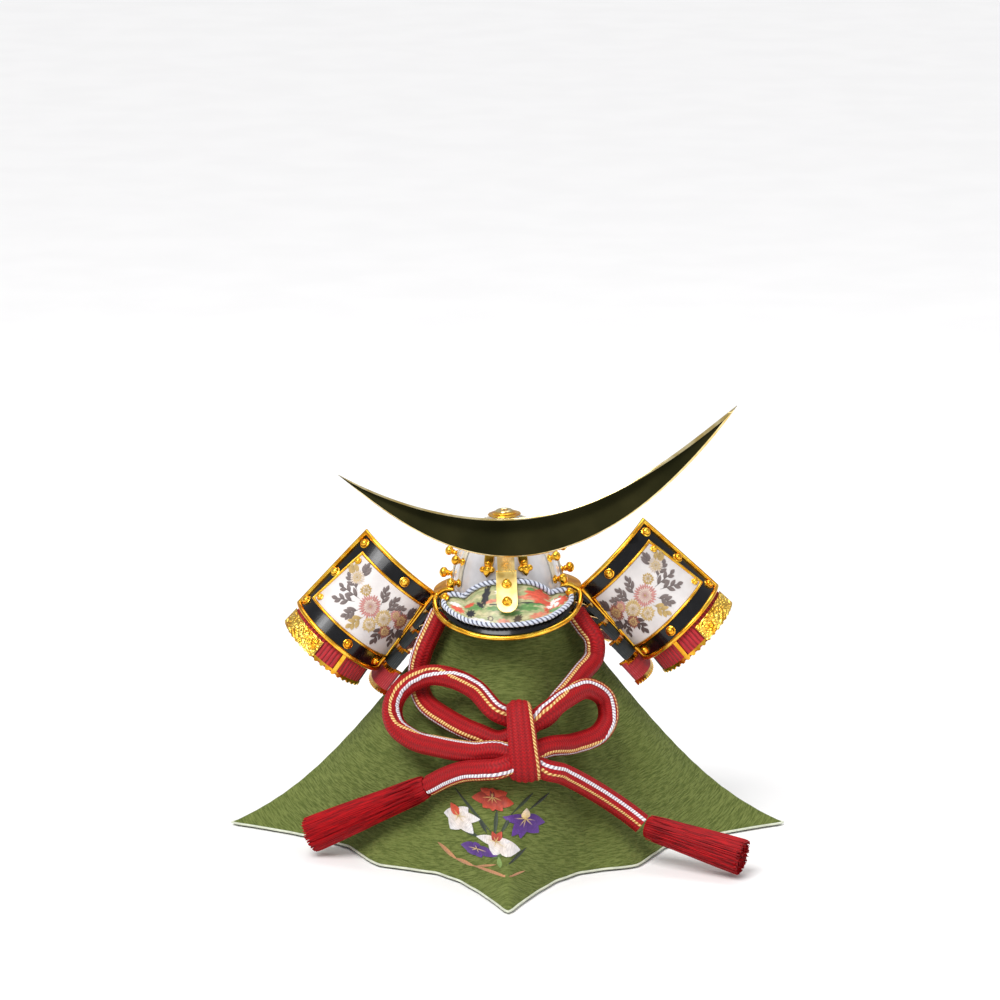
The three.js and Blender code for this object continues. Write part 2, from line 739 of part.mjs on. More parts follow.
function neckLame(k) {
  const pitch = (neck.topHeight - neck.lowHeight) / neck.lames;
  const high = neck.topHeight - pitch * k - (k === 0 ? 0 : -neck.overlap);
  const low = neck.topHeight - pitch * (k + 1);
  const at = (u, v) => {
    const start = neck.openingAngle - neck.openingStepAngle * k;
    const around = degrees(mix(start, 360 - start, u));
    const height = mix(high, low, v);
    const radius = neckRadius(height) + mix(-neck.shingle, neck.shingle, v);
    const above = bowl.rimHeight + height;
    return vector(radius * Math.sin(around), -radius * Math.cos(around), above);
  };
  return sheet(at, 24, 1, neck.wall);
}

// The turn-back's surface: along from its root to its free edge, down from top to bottom.
function wingPoint(side, along, down) {
  const rise = degrees(wing.riseAngle);
  const ahead = vector(0, -1, 0);
  const outward = vector(Math.cos(rise), 0, Math.sin(rise));
  const edge = (root, radius, from, to) => {
    const start = degrees(from);
    const turn = degrees(mix(from, to, along));
    return vector(...root)
      .addScaledVector(ahead, radius * (Math.sin(turn) - Math.sin(start)))
      .addScaledVector(outward, -radius * (Math.cos(turn) - Math.cos(start)));
  };
  const top = edge(wing.rootTop, wing.topRadius, wing.topFromAngle, wing.topToAngle);
  const low = edge(wing.rootLow, wing.lowRadius, wing.lowFromAngle, wing.lowToAngle);
  const p = top.lerp(low, down);
  return vector(side * p.x, p.y, bowl.rimHeight + p.z);
}

const wingNormal = (side, along, down) =>
  normalOf((u, v) => wingPoint(side, u, v), along, down).multiplyScalar(side);

const wingLength = (down) => {
  const top = wing.topRadius * degrees(wing.topToAngle - wing.topFromAngle);
  const low = wing.lowRadius * degrees(wing.lowToAngle - wing.lowFromAngle);
  return mix(top, low, down);
};
const wingHeight = wingPoint(1, 1, 0).distanceTo(wingPoint(1, 1, 1));

function wingPlate(side) {
  const plate = sheet((u, v) => wingPoint(side, u, v), 14, 2, wing.wall, { out: side });
  const studs = wingStuds.map(({ along, down }) => {
    const { radius, height } = stud;
    const dome = turned([[0, -wing.wall / 2], [radius, 0], [radius * 0.7, height * 0.8], [0, height]], 6);
    const bandMiddle = wing.rim + wing.band / 2;
    const t = mix(bandMiddle / wingHeight, 1 - bandMiddle / wingHeight, down);
    const s = mix(bandMiddle / wingLength(t), 1 - bandMiddle / wingLength(t), along);
    return standOn(dome, wingPoint(side, s, t), wingNormal(side, s, t));
  });
  return fuse(plate, ...studs);
}

// At the root the black band is narrow, so what lies inside it reaches nearly to the edge.
const wingRootInset = (inset) =>
  inset > wing.rim ? inset - wing.band + wing.rootBand : inset;

// A frame on the turn-back between two insets from its edge.
function wingFrame(side, outer, inner, wall) {
  const corners = (inset) => {
    const down = inset / wingHeight;
    const list = [];
    const walk = (share, at) => list.push(at(share));
    const along = (v) => inset / wingLength(v);
    const root = (v) => wingRootInset(inset) / wingLength(v);
    const cells = { along: 14, down: 2 };
    for (let k = 0; k < cells.along; k += 1)
      walk(k / cells.along, (s) => [mix(root(down), 1 - along(down), s), down]);
    for (let k = 0; k < cells.down; k += 1)
      walk(k / cells.down, (s) => [1 - along(mix(down, 1 - down, s)), mix(down, 1 - down, s)]);
    for (let k = 0; k < cells.along; k += 1)
      walk(k / cells.along, (s) => [mix(1 - along(1 - down), root(1 - down), s), 1 - down]);
    for (let k = 0; k < cells.down; k += 1)
      walk(k / cells.down, (s) => [root(mix(1 - down, down, s)), mix(1 - down, down, s)]);
    return list;
  };
  const rings = [corners(outer), corners(inner)];
  const count = rings[0].length;
  const points = [];
  rings[0].forEach((_, i) => {
    for (const ring of rings) {
      for (const lift of [wing.rimGap + wall, wing.rimGap]) {
        const [along, down] = ring[i];
        const normal = wingNormal(side, along, down);
        points.push(wingPoint(side, along, down).addScaledVector(normal, lift));
      }
    }
  });
  const quads = [];
  for (let i = 0; i < count; i += 1) {
    const here = 4 * i;
    const next = 4 * ((i + 1) % count);
    for (const [a, b] of [[0, 2], [2, 3], [3, 1], [1, 0]])
      quads.push([here + a, next + a, next + b, here + b]);
  }
  return solid(points, quads);
}

const wingPanelInset = wing.rim + wing.band + wing.innerRim + gap;

function wingPanel(side) {
  const down = wingPanelInset / wingHeight;
  const at = (u, v) => {
    const t = mix(down, 1 - down, v);
    const root = wingRootInset(wingPanelInset) / wingLength(t);
    const free = 1 - wingPanelInset / wingLength(t);
    return wingPoint(side, mix(root, free, u), t);
  };
  return sheet(at, 14, 2, wing.panelWall, { lift: wing.rimGap + wing.panelWall, out: side });
}

// The smaller turn-back behind the first, with a gilt plate on its outer end.
function smallTurnback(side) {
  const at = (u, v) =>
    wingPoint(side, mix(turnback.rootShare, 1, u), mix(turnback.fromShare, turnback.toShare, v));
  return sheet(at, 14, 1, turnback.wall, { lift: -wing.wall - wing.rimGap, out: side });
}

function giltPlate(side) {
  const at = (u, v) =>
    wingPoint(side, mix(gilt.fromShare, gilt.toShare, u), mix(gilt.lowShare, gilt.highShare, v));
  const lift = gap + gilt.wall - wing.wall - wing.rimGap;
  return sheet(at, 8, 1, gilt.wall, { lift, out: side });
}

// The tied cord, its knot and its tassels.
function cordTube(points) {
  const places = points.map((p) => vector(...p));
  const path = new THREE.CatmullRomCurve3(places, false, "centripetal");
  const steps = Math.ceil(path.getLength() / cord.step);
  return bead(places, cord.diameter / 2, cord.sides, steps);
}

function knotWrap() {
  const shape = new THREE.SphereGeometry(1, 12, 8);
  const positions = shape.attributes.position;
  const square = (c, power) => Math.sign(c) * Math.abs(c) ** power;
  for (let i = 0; i < positions.count; i += 1) {
    const x = positions.getX(i);
    const y = positions.getY(i);
    const z = positions.getZ(i);
    positions.setXYZ(i, square(x, 0.6), square(y, 0.5), square(z, 0.6));
  }
  return shape
    .rotateX(Math.PI / 2)
    .scale(knot.width / 2, knot.depth / 2, knot.length / 2)
    .rotateX(-degrees(knot.tiltAngle))
    .translate(...knot.centre);
}

// A tassel: locks fused round a core that widens from the cord to the cut ends.
function tasselBody(ends) {
  const from = vector(...ends.from);
  const axis = vector(...ends.to).sub(from);
  const length = axis.length();
  const points = [from.clone()];
  const forward = axis.clone().normalize();
  const across = vector(0, 0, 1).cross(forward).normalize();
  const upward = forward.clone().cross(across);
  const quads = [];
  tasselRows.forEach((row, i) => {
    for (let k = 0; k < tassel.sides; k += 1) {
      const turn = (2 * Math.PI * k) / tassel.sides;
      const lock = tassel.lockDepth * row.alongShare * Math.cos(tassel.locks * turn);
      const radius = tassel.endRadius * row.radiusShare + lock;
      const place = from.clone().addScaledVector(axis, row.alongShare);
      place.addScaledVector(across, radius * Math.cos(turn));
      points.push(place.addScaledVector(upward, radius * Math.sin(turn)));
      const next = (k + 1) % tassel.sides;
      const here = 1 + i * tassel.sides;
      const before = here - tassel.sides;
      if (i === 0) quads.push([0, 0, here + k, here + next]);
      else quads.push([before + k, here + k, here + next, before + next]);
    }
  });
  const last = points.length;
  points.push(from.clone().addScaledVector(forward, length));
  const ring = last - tassel.sides;
  for (let k = 0; k < tassel.sides; k += 1)
    quads.push([ring + k, last, last, ring + ((k + 1) % tassel.sides)]);
  return solid(points, quads);
}

piece(group, "stand_base", standBase(), looks.wood);
piece(group, "stand_post", standPost(), looks.wood);
piece(group, "stand_head", standHead(), looks.wood);
piece(group, "drape_cloth", drapeCloth(), looks.cloth);

piece(helmet, "bowl", bowlShell(), looks.white);
ribAzimuths.forEach((azimuth, k) =>
  piece(helmet, `rib_${k + 1}`, ribWithKnobs(azimuth), looks.gold));
piece(helmet, "crown_fitting", crownFitting(), looks.gold);
piece(helmet, "rim_flange", rimFlange(), looks.gold);
piece(helmet, "visor_plate", visorPlate(), looks.black);
piece(helmet, "visor_rim", visorRim(), looks.gold);
piece(helmet, "visor_leather", visorLeather(), looks.print);
piece(helmet, "visor_braid", visorBraid(), looks.braid);
piece(helmet, "crest_holder", crestHolder(), looks.silver);
piece(helmet, "crescent", crescentPlate(), looks.crest);
for (let k = 0; k < neck.lames; k += 1)
  piece(helmet, `neck_lame_${k + 1}`, neckLame(k), looks.lacing);

for (const [name, side] of [["left", -1], ["right", 1]]) {
  const frameInset = wing.rim + wing.band;
  piece(helmet, `spear_${name}`, spearStrip(side), looks.gold);
  piece(helmet, `wing_plate_${name}`, wingPlate(side), looks.black);
  piece(helmet, `wing_rim_${name}`, wingFrame(side, 0, wing.rim, wing.rimWall), looks.gold);
  piece(
    helmet,
    `wing_inner_rim_${name}`,
    wingFrame(side, frameInset, frameInset + wing.innerRim, wing.rimWall),
    looks.gold,
  );
  piece(helmet, `wing_panel_${name}`, wingPanel(side), looks.leather);
  piece(helmet, `small_turnback_${name}`, smallTurnback(side), looks.lacing);
  piece(helmet, `gilt_plate_${name}`, giltPlate(side), looks.gold);
}

for (const [name, points] of Object.entries(cordPoints))
  piece(group, name, cordTube(points), looks.cord);
piece(group, "bow_knot", knotWrap(), looks.cord);
for (const [name, ends] of Object.entries(tasselEnds))
  piece(group, name, tasselBody(ends), looks.cord);

export default group;
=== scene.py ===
"""A display kabuto on its cloth-covered stand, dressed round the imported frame.

Shapes are worked out in millimetres, in the frame's own axes: +X right as seen from the front,
the front faces -Y, +Z up. They go into meshes in metres. The helmet's pieces are turned a little
about the bowl's rim, right side up, as the frame's are.
"""

import math

import bmesh
import bpy
import numpy as np
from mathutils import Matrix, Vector


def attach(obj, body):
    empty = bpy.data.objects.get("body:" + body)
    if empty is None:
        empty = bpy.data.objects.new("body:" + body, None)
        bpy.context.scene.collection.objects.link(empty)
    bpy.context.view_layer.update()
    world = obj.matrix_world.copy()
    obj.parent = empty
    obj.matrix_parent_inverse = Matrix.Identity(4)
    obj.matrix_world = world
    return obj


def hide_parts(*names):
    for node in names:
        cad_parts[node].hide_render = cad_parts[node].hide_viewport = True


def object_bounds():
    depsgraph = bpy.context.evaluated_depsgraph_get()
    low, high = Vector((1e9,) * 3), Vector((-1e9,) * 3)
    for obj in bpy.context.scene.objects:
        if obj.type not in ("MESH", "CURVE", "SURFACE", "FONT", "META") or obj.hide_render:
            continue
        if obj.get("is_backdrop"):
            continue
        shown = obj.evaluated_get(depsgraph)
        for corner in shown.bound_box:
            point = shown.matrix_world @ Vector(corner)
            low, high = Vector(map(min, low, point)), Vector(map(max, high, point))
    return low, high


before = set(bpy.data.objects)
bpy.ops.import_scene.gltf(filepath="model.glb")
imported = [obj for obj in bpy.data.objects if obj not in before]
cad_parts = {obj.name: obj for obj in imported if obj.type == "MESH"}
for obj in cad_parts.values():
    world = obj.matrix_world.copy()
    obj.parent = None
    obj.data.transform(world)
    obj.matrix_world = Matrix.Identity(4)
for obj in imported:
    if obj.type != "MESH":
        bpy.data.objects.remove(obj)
cad_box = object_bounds()
rng = np.random.default_rng(11)

MM = 0.001
X, Y, Z = np.eye(3)
ROLL = math.radians(2.4)
RIM_HEIGHT = 128.0


# Camera, at the photograph's viewing angle.
def add_camera():
    data = bpy.data.cameras.new("camera")
    data.sensor_width = 36
    data.lens = 150.8
    camera = bpy.data.objects.new("camera", data)
    camera.location = (-0.004, -2.1215, 0.6785)
    camera.rotation_euler = (math.radians(90 - 13.3), 0, 0)
    bpy.context.scene.collection.objects.link(camera)
    bpy.context.scene.camera = camera


add_camera()


# Numbers and surfaces.
def unit(v):
    return v / np.maximum(np.linalg.norm(v, axis=-1, keepdims=True), 1e-9)


def mix(a, b, t):
    return a + (b - a) * t


def smooth(low, high, x):
    """Rises from 0 at low to 1 at high with level ends."""
    t = np.clip((x - low) / (high - low), 0, 1)
    return t * t * (3 - 2 * t)


def stack(*parts):
    return np.stack(np.broadcast_arrays(*parts), -1)


def full_turn(sides):
    """Angles evenly round a circle, the first at 0."""
    return np.linspace(0, 2 * np.pi, sides, endpoint=False)


def polar(radius, turn):
    return stack(radius * np.cos(turn), radius * np.sin(turn))


def bent(x, power):
    """A number's size raised to a power, with its sign kept."""
    return np.sign(x) * np.abs(x) ** power


def run_of(path):
    """The run along a path to each of its points."""
    return np.concatenate([[0], np.cumsum(np.linalg.norm(np.diff(path, axis=0), axis=1))])


def grid(n, m, wrap=False):
    """Places 0 to 1 on an n by m grid, as columns u and rows v."""
    u = np.linspace(0, 1, n, endpoint=not wrap)
    return np.meshgrid(u, np.linspace(0, 1, m), indexing="ij")


def rolled(p):
    """Points turned about Y through the middle of the bowl's rim, right side up."""
    x, y, z = p[..., 0], p[..., 1], p[..., 2] - RIM_HEIGHT
    turn_cos, turn_sin = math.cos(ROLL), math.sin(ROLL)
    return stack(x * turn_cos - z * turn_sin, y, x * turn_sin + z * turn_cos + RIM_HEIGHT)


def spline(points, count, closed=False):
    """Centripetal Catmull-Rom curve through the points, read at places evenly apart."""
    p = np.asarray(points, float)
    if closed:
        p = np.vstack([p[-1:], p, p[:2]])
    else:
        p = np.vstack([2 * p[:1] - p[1:2], p, 2 * p[-1:] - p[-2:-1]])
    t = np.linspace(0, 1, 24, endpoint=False)[:, None]
    pieces = []
    for a, b, c, d in zip(p, p[1:], p[2:], p[3:]):
        ab, bc, cd = (np.linalg.norm(y - x) ** 0.5 + 1e-9 for x, y in ((a, b), (b, c), (c, d)))
        leave = bc * ((b - a) / ab - (c - a) / (ab + bc) + (c - b) / bc)
        reach = bc * ((c - b) / bc - (d - b) / (bc + cd) + (d - c) / cd)
        pieces.append(
            b * (2 * t**3 - 3 * t**2 + 1)
            + leave * (t**3 - 2 * t**2 + t)
            + c * (3 * t**2 - 2 * t**3)
            + reach * (t**3 - t**2)
        )
    fine = np.vstack([*pieces, p[-2:-1]])
    run = run_of(fine)
    places = np.linspace(0, run[-1], count, endpoint=not closed)
    return np.stack([np.interp(places, run, fine[:, k]) for k in range(3)], -1)


def tangents(path, closed=False):
    if closed:
        return unit(np.roll(path, -1, 0) - np.roll(path, 1, 0))
    return unit(np.gradient(path, axis=0))


def normals_of(points, wrap=False):
    """Unit normals of a grid of points, from its differences along both ways."""
    if wrap:
        along_u = np.roll(points, -1, 0) - np.roll(points, 1, 0)
    else:
        along_u = np.gradient(points, axis=0)
    return unit(np.cross(along_u, np.gradient(points, axis=1)))


def lattice(n, m, wrap_n=False, wrap_m=False):
    """Quads that join an n by m grid of points, going round where it wraps."""
    i, j = np.meshgrid(
        np.arange(n if wrap_n else n - 1), np.arange(m if wrap_m else m - 1), indexing="ij"
    )
    i1, j1 = (i + 1) % n, (j + 1) % m
    return np.stack([i * m + j, i1 * m + j, i1 * m + j1, i * m + j1], -1).reshape(-1, 4)


def two_skins(n, m, wrap=False):
    """Quads that close an outer and an inner n by m grid: both skins and their rim."""
    skin, far = lattice(n, m, wrap), n * m
    place = np.arange(far).reshape(n, m)

    def strip(a, b):
        return np.stack([a, b, b + far, a + far], -1)

    across = np.roll(place, -1, 0) if wrap else place[1:]
    along = place if wrap else place[:-1]
    rims = [strip(across[:, 0], along[:, 0]), strip(along[:, -1], across[:, -1])]
    if not wrap:
        rims += [strip(place[0, :-1], place[0, 1:]), strip(place[-1, 1:], place[-1, :-1])]
    return [skin, skin[:, ::-1] + far, np.vstack(rims)]


class Pile:
    """Closed bodies gathered into one mesh. Each point carries a flow, its place in millimetres
    on its own surface, and a dye, its colour."""

    def __init__(self):
        self.points, self.faces, self.looks, self.flows, self.dyes = [], [], [], [], []
        self.count = 0

    def add(self, points, faces, look=0, flow=None, dye=(1, 1, 1)):
        """Adds a body, turned right side out by the sign of its volume."""
        points = points.reshape(-1, 3)
        volume = 0.0
        for f in faces:
            first = points[f[:, 0]]
            for k in range(2, f.shape[1]):
                across = np.cross(points[f[:, k - 1]], points[f[:, k]])
                volume += np.einsum("ij,ij->", first, across)
        looks = look if isinstance(look, (list, tuple)) else [look] * len(faces)
        for f, face_look in zip(faces, looks):
            self.faces += ((f if volume > 0 else f[:, ::-1]) + self.count).tolist()
            self.looks += [face_look] * len(f)
        flow = np.zeros(points.shape) if flow is None else np.asarray(flow).reshape(-1, 3)
        self.points.append(points)
        self.flows.append(flow)
        self.dyes.append(np.broadcast_to(np.asarray(dye, float).reshape(-1, 3), points.shape))
        self.count += len(points)

    def shell(self, surface, wall, lift=0.0, wrap=False, out=1, look=0, rim_look=None,
              flow=None, dye=(1, 1, 1)):
        """A sheet of even wall along a grid of points: both skins and the strips round its rim."""
        normal = normals_of(surface, wrap) * out
        outer = surface + normal * lift
        flow = None if flow is None else np.stack([flow, flow])
        dye = np.asarray(dye, float)
        if dye.ndim > 1:
            dye = np.stack([dye, dye])
        faces = two_skins(*surface.shape[:2], wrap)
        looks = [look, look, look if rim_look is None else rim_look]
        self.add(np.stack([outer, outer - normal * wall]), faces, looks, flow, dye)

    def sweep(self, path, side, up, profile, closed=False, look=0, flow=None, dye=(1, 1, 1)):
        """A closed profile of (across, up) pairs carried along a path, with flat ends."""
        profile = np.broadcast_to(profile, (len(path), *np.shape(profile)[-2:]))
        side, up = (np.broadcast_to(way, path.shape)[:, None] for way in (side, up))
        points = path[:, None] + side * profile[..., :1] + up * profile[..., 1:]
        n, m = points.shape[:2]
        faces = [lattice(n, m, closed, True)]
        if not closed:
            ring = np.arange(m)[None]
            faces += [ring, ring[:, ::-1] + (n - 1) * m]
        self.add(points, faces, look, flow, dye)

    def lathe(self, profile, place, axis, sides=20, look=0, dye=(1, 1, 1)):
        """A profile of (radius, height) pairs turned about an axis that stands on a place."""
        radius, height = np.asarray(profile, float).T
        axis = unit(np.asarray(axis, float))
        path = np.asarray(place, float) + axis * height[:, None]
        section = polar(np.maximum(radius, 0.03)[:, None], full_turn(sides))
        self.sweep(path, *crosswise(axis), section, look=look, dye=dye)

    def ball(self, place, radius, look=0, dye=(1, 1, 1), squash=1.0, axis=(0, 0, 1), sides=16):
        """A round ball from its foot up, flattened along its axis by squash."""
        turn = np.linspace(0.06, np.pi - 0.06, 11)
        profile = np.stack([radius * np.sin(turn), -radius * squash * np.cos(turn)], -1)
        self.lathe(profile, place, axis, sides, look, dye)

    def build(self, name, finishes, nodes=(), roll=True):
        """Makes the mesh, smooth, with its flow and dye, and says what it stands for."""
        points = np.concatenate(self.points)
        if roll:
            points = rolled(points)
        mesh = bpy.data.meshes.new(name)
        mesh.from_pydata((points * MM).tolist(), [], self.faces)
        mesh.polygons.foreach_set("material_index", np.array(self.looks, np.int32))
        mesh.polygons.foreach_set("use_smooth", np.ones(len(self.faces), bool))
        flow = mesh.attributes.new("flow", "FLOAT_VECTOR", "POINT")
        flow.data.foreach_set("vector", np.concatenate(self.flows).astype(np.float32).ravel())
        dye = mesh.attributes.new("dye", "FLOAT_COLOR", "POINT")
        colour = np.concatenate([np.concatenate(self.dyes), np.ones((len(points), 1))], 1)
        dye.data.foreach_set("color", colour.astype(np.float32).ravel())
        for finish in finishes if isinstance(finishes, (list, tuple)) else [finishes]:
            mesh.materials.append(finish)
        mesh.update()
        piece = bpy.data.objects.new(name, mesh)
        bpy.context.scene.collection.objects.link(piece)
        sharpen(piece)
        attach(piece, "root")
        if nodes:
            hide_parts(*nodes)
        return piece


def crosswise(axis):
    """Two unit directions across an axis."""
    away = X if abs(axis[0]) < 0.9 else Y
    side = unit(np.cross(axis, away))
    return side, np.cross(axis, side)


CRISP = math.radians(50)


def sharpen(piece):
    """Keeps a smooth mesh's edges crisp where they turn sharply."""
    shape = bmesh.new()
    shape.from_mesh(piece.data)
    for edge in shape.edges:
        if len(edge.link_faces) == 2 and edge.calc_face_angle(0) > CRISP:
            edge.smooth = False
    shape.to_mesh(piece.data)
    shape.free()


def circle(radius, sides):
    return polar(radius, full_turn(sides))


# Finishes. Shader maths is written as Python expressions on these sockets.
def paint(red, green, blue):
    """A colour given as seen, 0 to 255, as the linear colour that shaders use."""
    seen = np.array([red, green, blue]) / 255
    return np.where(seen <= 0.04045, seen / 12.92, ((seen + 0.055) / 1.055) ** 2.4)


class Socket:
    def __init__(self, finish, out):
        self.finish, self.out = finish, out

    def math(self, operation, *others):
        return self.finish.node("ShaderNodeMath", {"operation": operation}, [self, *others])

    def __add__(self, other):
        return self.math("ADD", other)

    def __radd__(self, other):
        return self.math("ADD", other)

    def __sub__(self, other):
        return self.math("SUBTRACT", other)

    def __rsub__(self, other):
        return (self * -1) + other

    def __mul__(self, other):
        return self.math("MULTIPLY", other)

    def __rmul__(self, other):
        return self.math("MULTIPLY", other)

    def sin(self):
        return self.math("SINE")

    def step(self, low, high):
        """Rises smoothly from 0 at low to 1 at high."""
        settings = {"interpolation_type": "SMOOTHSTEP"}
        return self.finish.node("ShaderNodeMapRange", settings, [self, low, high, 0.0, 1.0])


class Finish:
    """One procedural material on a Principled shader."""

    def __init__(self, name):
        self.material = bpy.data.materials.new(name)
        self.material.use_nodes = True
        self.tree = self.material.node_tree
        self.tree.nodes.clear()
        self.shader = self.tree.nodes.new("ShaderNodeBsdfPrincipled")
        end = self.tree.nodes.new("ShaderNodeOutputMaterial")
        self.tree.links.new(self.shader.outputs[0], end.inputs[0])

    def put(self, socket, value):
        if isinstance(value, Socket):
            self.tree.links.new(value.out, socket)
        elif hasattr(socket.default_value, "__len__"):
            size = len(socket.default_value)
            value = (*value, 1.0)[:size] if hasattr(value, "__len__") else [value] * size
            socket.default_value = value
        else:
            socket.default_value = value

    def node(self, kind, settings=None, inputs=(), out=0):
        """One node: its settings first, then the values or links of its sockets."""
        made = self.tree.nodes.new(kind)
        for key, value in (settings or {}).items():
            setattr(made, key, value)
        pairs = inputs.items() if isinstance(inputs, dict) else enumerate(inputs)
        for key, value in pairs:
            if value is not None:
                self.put(made.inputs[key], value)
        return Socket(self, made.outputs[out])

    def place(self):
        """The piece's own flow, split in its three numbers."""
        whole = self.node("ShaderNodeAttribute", {"attribute_name": "flow"}, out="Vector")
        return [self.node("ShaderNodeSeparateXYZ", None, [whole], k) for k in range(3)]

    def vector(self, x, y, z):
        return self.node("ShaderNodeCombineXYZ", None, [x, y, z])

    def dye(self):
        return self.node("ShaderNodeAttribute", {"attribute_name": "dye"}, out="Color")

    def where(self, scale=1.0):
        """Object coordinates in millimetres, times a scale."""
        at = self.node("ShaderNodeTexCoord", out="Object")
        size = np.full(3, 1 / MM) * scale
        return self.node("ShaderNodeVectorMath", {"operation": "MULTIPLY"}, [at, size])

    def noise(self, at, scale=1.0, detail=3.0, roughness=0.5):
        inputs = {"Vector": at, "Scale": scale, "Detail": detail, "Roughness": roughness}
        return self.node("ShaderNodeTexNoise", None, inputs)

    def cells(self, at, scale=1.0, feature="F1"):
        inputs = {"Vector": at, "Scale": scale}
        return self.node("ShaderNodeTexVoronoi", {"feature": feature}, inputs)

    def blend(self, share, a, b, kind="MIX"):
        """Colours a and b mixed by a share."""
        settings = {"data_type": "RGBA", "blend_type": kind}
        return self.node("ShaderNodeMix", settings, {0: share, 6: a, 7: b}, out=2)

    def bump(self, height, depth, strength=1.0, normal=None):
        """A bump whose height of 1 stands depth millimetres proud."""
        inputs = {"Strength": strength, "Distance": depth * MM, "Height": height, "Normal": normal}
        return self.node("ShaderNodeBump", None, inputs)

    def done(self, **sockets):
        for name, value in sockets.items():
            self.put(self.shader.inputs[name.replace("_", " ")], value)
        return self.material


def crepe_cloth():
    """Green crepe: fine wrinkles that run across the cloth, their crests painted lighter and their
    hollows painted darker as light and shade, a mottled dye and a soft sheen.
    """
    f = Finish("green_crepe")
    x, y, run = f.place()
    wander = f.noise(f.vector(x * 0.04, y * 0.04, run * 0.05), 1.0, 2.0)
    wrinkle = f.noise(f.vector(x * 0.2, y * 0.2, run * 1.5 + wander * 3.0), 1.0, 4.0, 0.55)
    fine = f.noise(f.vector(x * 0.7, y * 0.7, run * 3.0), 1.0, 2.0)
    height = wrinkle * 0.8 + fine * 0.2
    mottle = f.noise(f.vector(x * 0.03, y * 0.03, run * 0.03), 1.0, 3.0)
    # Painted light and shade: the wrinkles' crests lighter and their hollows darker.
    lit = f.blend(height.step(0.36, 0.64), paint(80, 92, 40), paint(118, 128, 68))
    colour = f.blend(mottle.step(0.3, 0.8) * 0.3, lit, paint(98, 110, 50))
    return f.done(
        Base_Color=colour,
        Roughness=0.86,
        Sheen_Weight=0.08,
        Sheen_Roughness=0.5,
        Sheen_Tint=paint(190, 205, 130),
        Specular_IOR_Level=0.2,
        Normal=f.bump(height, 1.1, 1.0),
    )


def plain(name, colour, roughness=0.5, scale=1.0, vary=0.12, depth=0.02, **more):
    """A finish of one colour, broken by soft mottling, uneven gloss and a fine grain."""
    f = Finish(name)
    at = f.where(scale)
    cloud = f.noise(at, 0.25, 3.0)
    grain = f.noise(at, 2.2, 3.0)
    dark, light = colour * (1 - vary), np.minimum(1.0, colour * (1 + vary))
    return f.done(
        Base_Color=f.blend(cloud.step(0.3, 0.7), dark, light),
        Roughness=cloud * 0.12 + (roughness - 0.06),
        Normal=f.bump(grain, depth, 0.6),
        **more,
    )


def gilt(name, deep, bright, roughness=0.2, depth=0.03, relief=None):
    """Gilt metal: rubbed bright in places, a little darker where it is clouded."""
    f = Finish(name)
    at = f.where()
    cloud = f.noise(at, 0.16, 4.0)
    grain = f.noise(at, 0.8, 2.0)
    normal = f.bump(grain, depth * 0.35, 0.5)
    if relief:
        tool = f.cells(at, 0.42) * 0.7 + f.noise(at, 0.75, 3.0) * 0.6
        normal = f.bump(tool, relief, 1.0, normal)
    return f.done(
        Base_Color=f.blend(cloud.step(0.32, 0.66), deep, bright),
        Roughness=cloud * 0.18 + (roughness - 0.08),
        Metallic=1.0,
        Normal=normal,
    )


def braided_cord():
    """Crimson braid: slanting stitches in lengthwise rows, and a gold and a white line, told by the
    dye: red is how gold, green is how white a point is, and blue is how deep in a groove between
    rows it lies, where shade is painted in."""
    f = Finish("crimson_braid")
    along, cosine, sine = f.place()
    turn = f.node("ShaderNodeMath", {"operation": "ARCTAN2"}, [sine, cosine])
    masks = f.dye()
    gold, white, shade = (f.node("ShaderNodeSeparateColor", None, [masks], k) for k in range(3))
    rows = (turn * 8.0).sin()
    stitch = ((along * 4.2) + rows * 1.6).sin()
    twist = ((along * 3.6) + turn * 9.0).sin()
    thread = f.noise(f.vector(along * 0.8, cosine * 9.0, sine * 9.0), 1.0, 3.0)
    red = f.blend(stitch * 0.2 + thread * 0.8, paint(122, 0, 8), paint(204, 4, 16))
    # Painted shade: the red darkened in the grooves between the braid's rows.
    red = f.blend(shade * 0.5, red, paint(96, 0, 8))
    gold_colour = f.blend(twist.step(-0.4, 0.7), paint(178, 110, 52), paint(250, 214, 138))
    white_colour = f.blend(twist.step(-0.6, 0.5), paint(176, 166, 176), paint(246, 244, 248))
    colour = f.blend(gold.step(0.35, 0.65), red, gold_colour)
    colour = f.blend(white.step(0.35, 0.65), colour, white_colour)
    height = stitch * 0.3 + twist * (gold + white) * 0.4 + thread * 0.3
    return f.done(
        Base_Color=colour,
        Roughness=0.62 - gold * 0.18,
        Sheen_Weight=0.1,
        Sheen_Roughness=0.4,
        Sheen_Tint=paint(255, 90, 90),
        Specular_IOR_Level=0.3,
        Normal=f.bump(height, 0.28, 0.9),
    )


def fringe_silk():
    f = Finish("red_fringe")
    along, strand, _ = f.place()
    tone = f.noise(f.vector(along * 0.08, strand * 5.0, 0.0), 1.0, 2.0)
    return f.done(
        Base_Color=f.blend(tone.step(0.3, 0.7), paint(104, 0, 8), paint(182, 2, 14)),
        Roughness=0.6,
        Specular_IOR_Level=0.2,
        Sheen_Weight=0.03,
        Sheen_Tint=paint(255, 90, 90),
        Normal=f.bump(tone, 0.1, 0.6),
    )


def crest_brass():
    """Polished crest brass whose colour is painted near-black olive as a dark reflection, with
    faint brushing along its length.
    """
    f = Finish("crest_brass_painted_reflection")
    brush = f.noise(f.where((0.05, 0.05, 1.6)), 1.0, 4.0)
    cloud = f.noise(f.where(), 0.03, 3.0)
    # Near-black olive base: a painted dark reflection, standing in for the dark room the polished
    # brass reflects.
    colour = f.blend(cloud.step(0.3, 0.7), paint(34, 34, 18), paint(50, 48, 27))
    return f.done(
        Base_Color=colour,
        Roughness=brush * 0.08 + 0.2,
        Metallic=1.0,
        Normal=f.bump(brush, 0.004, 0.5),
    )


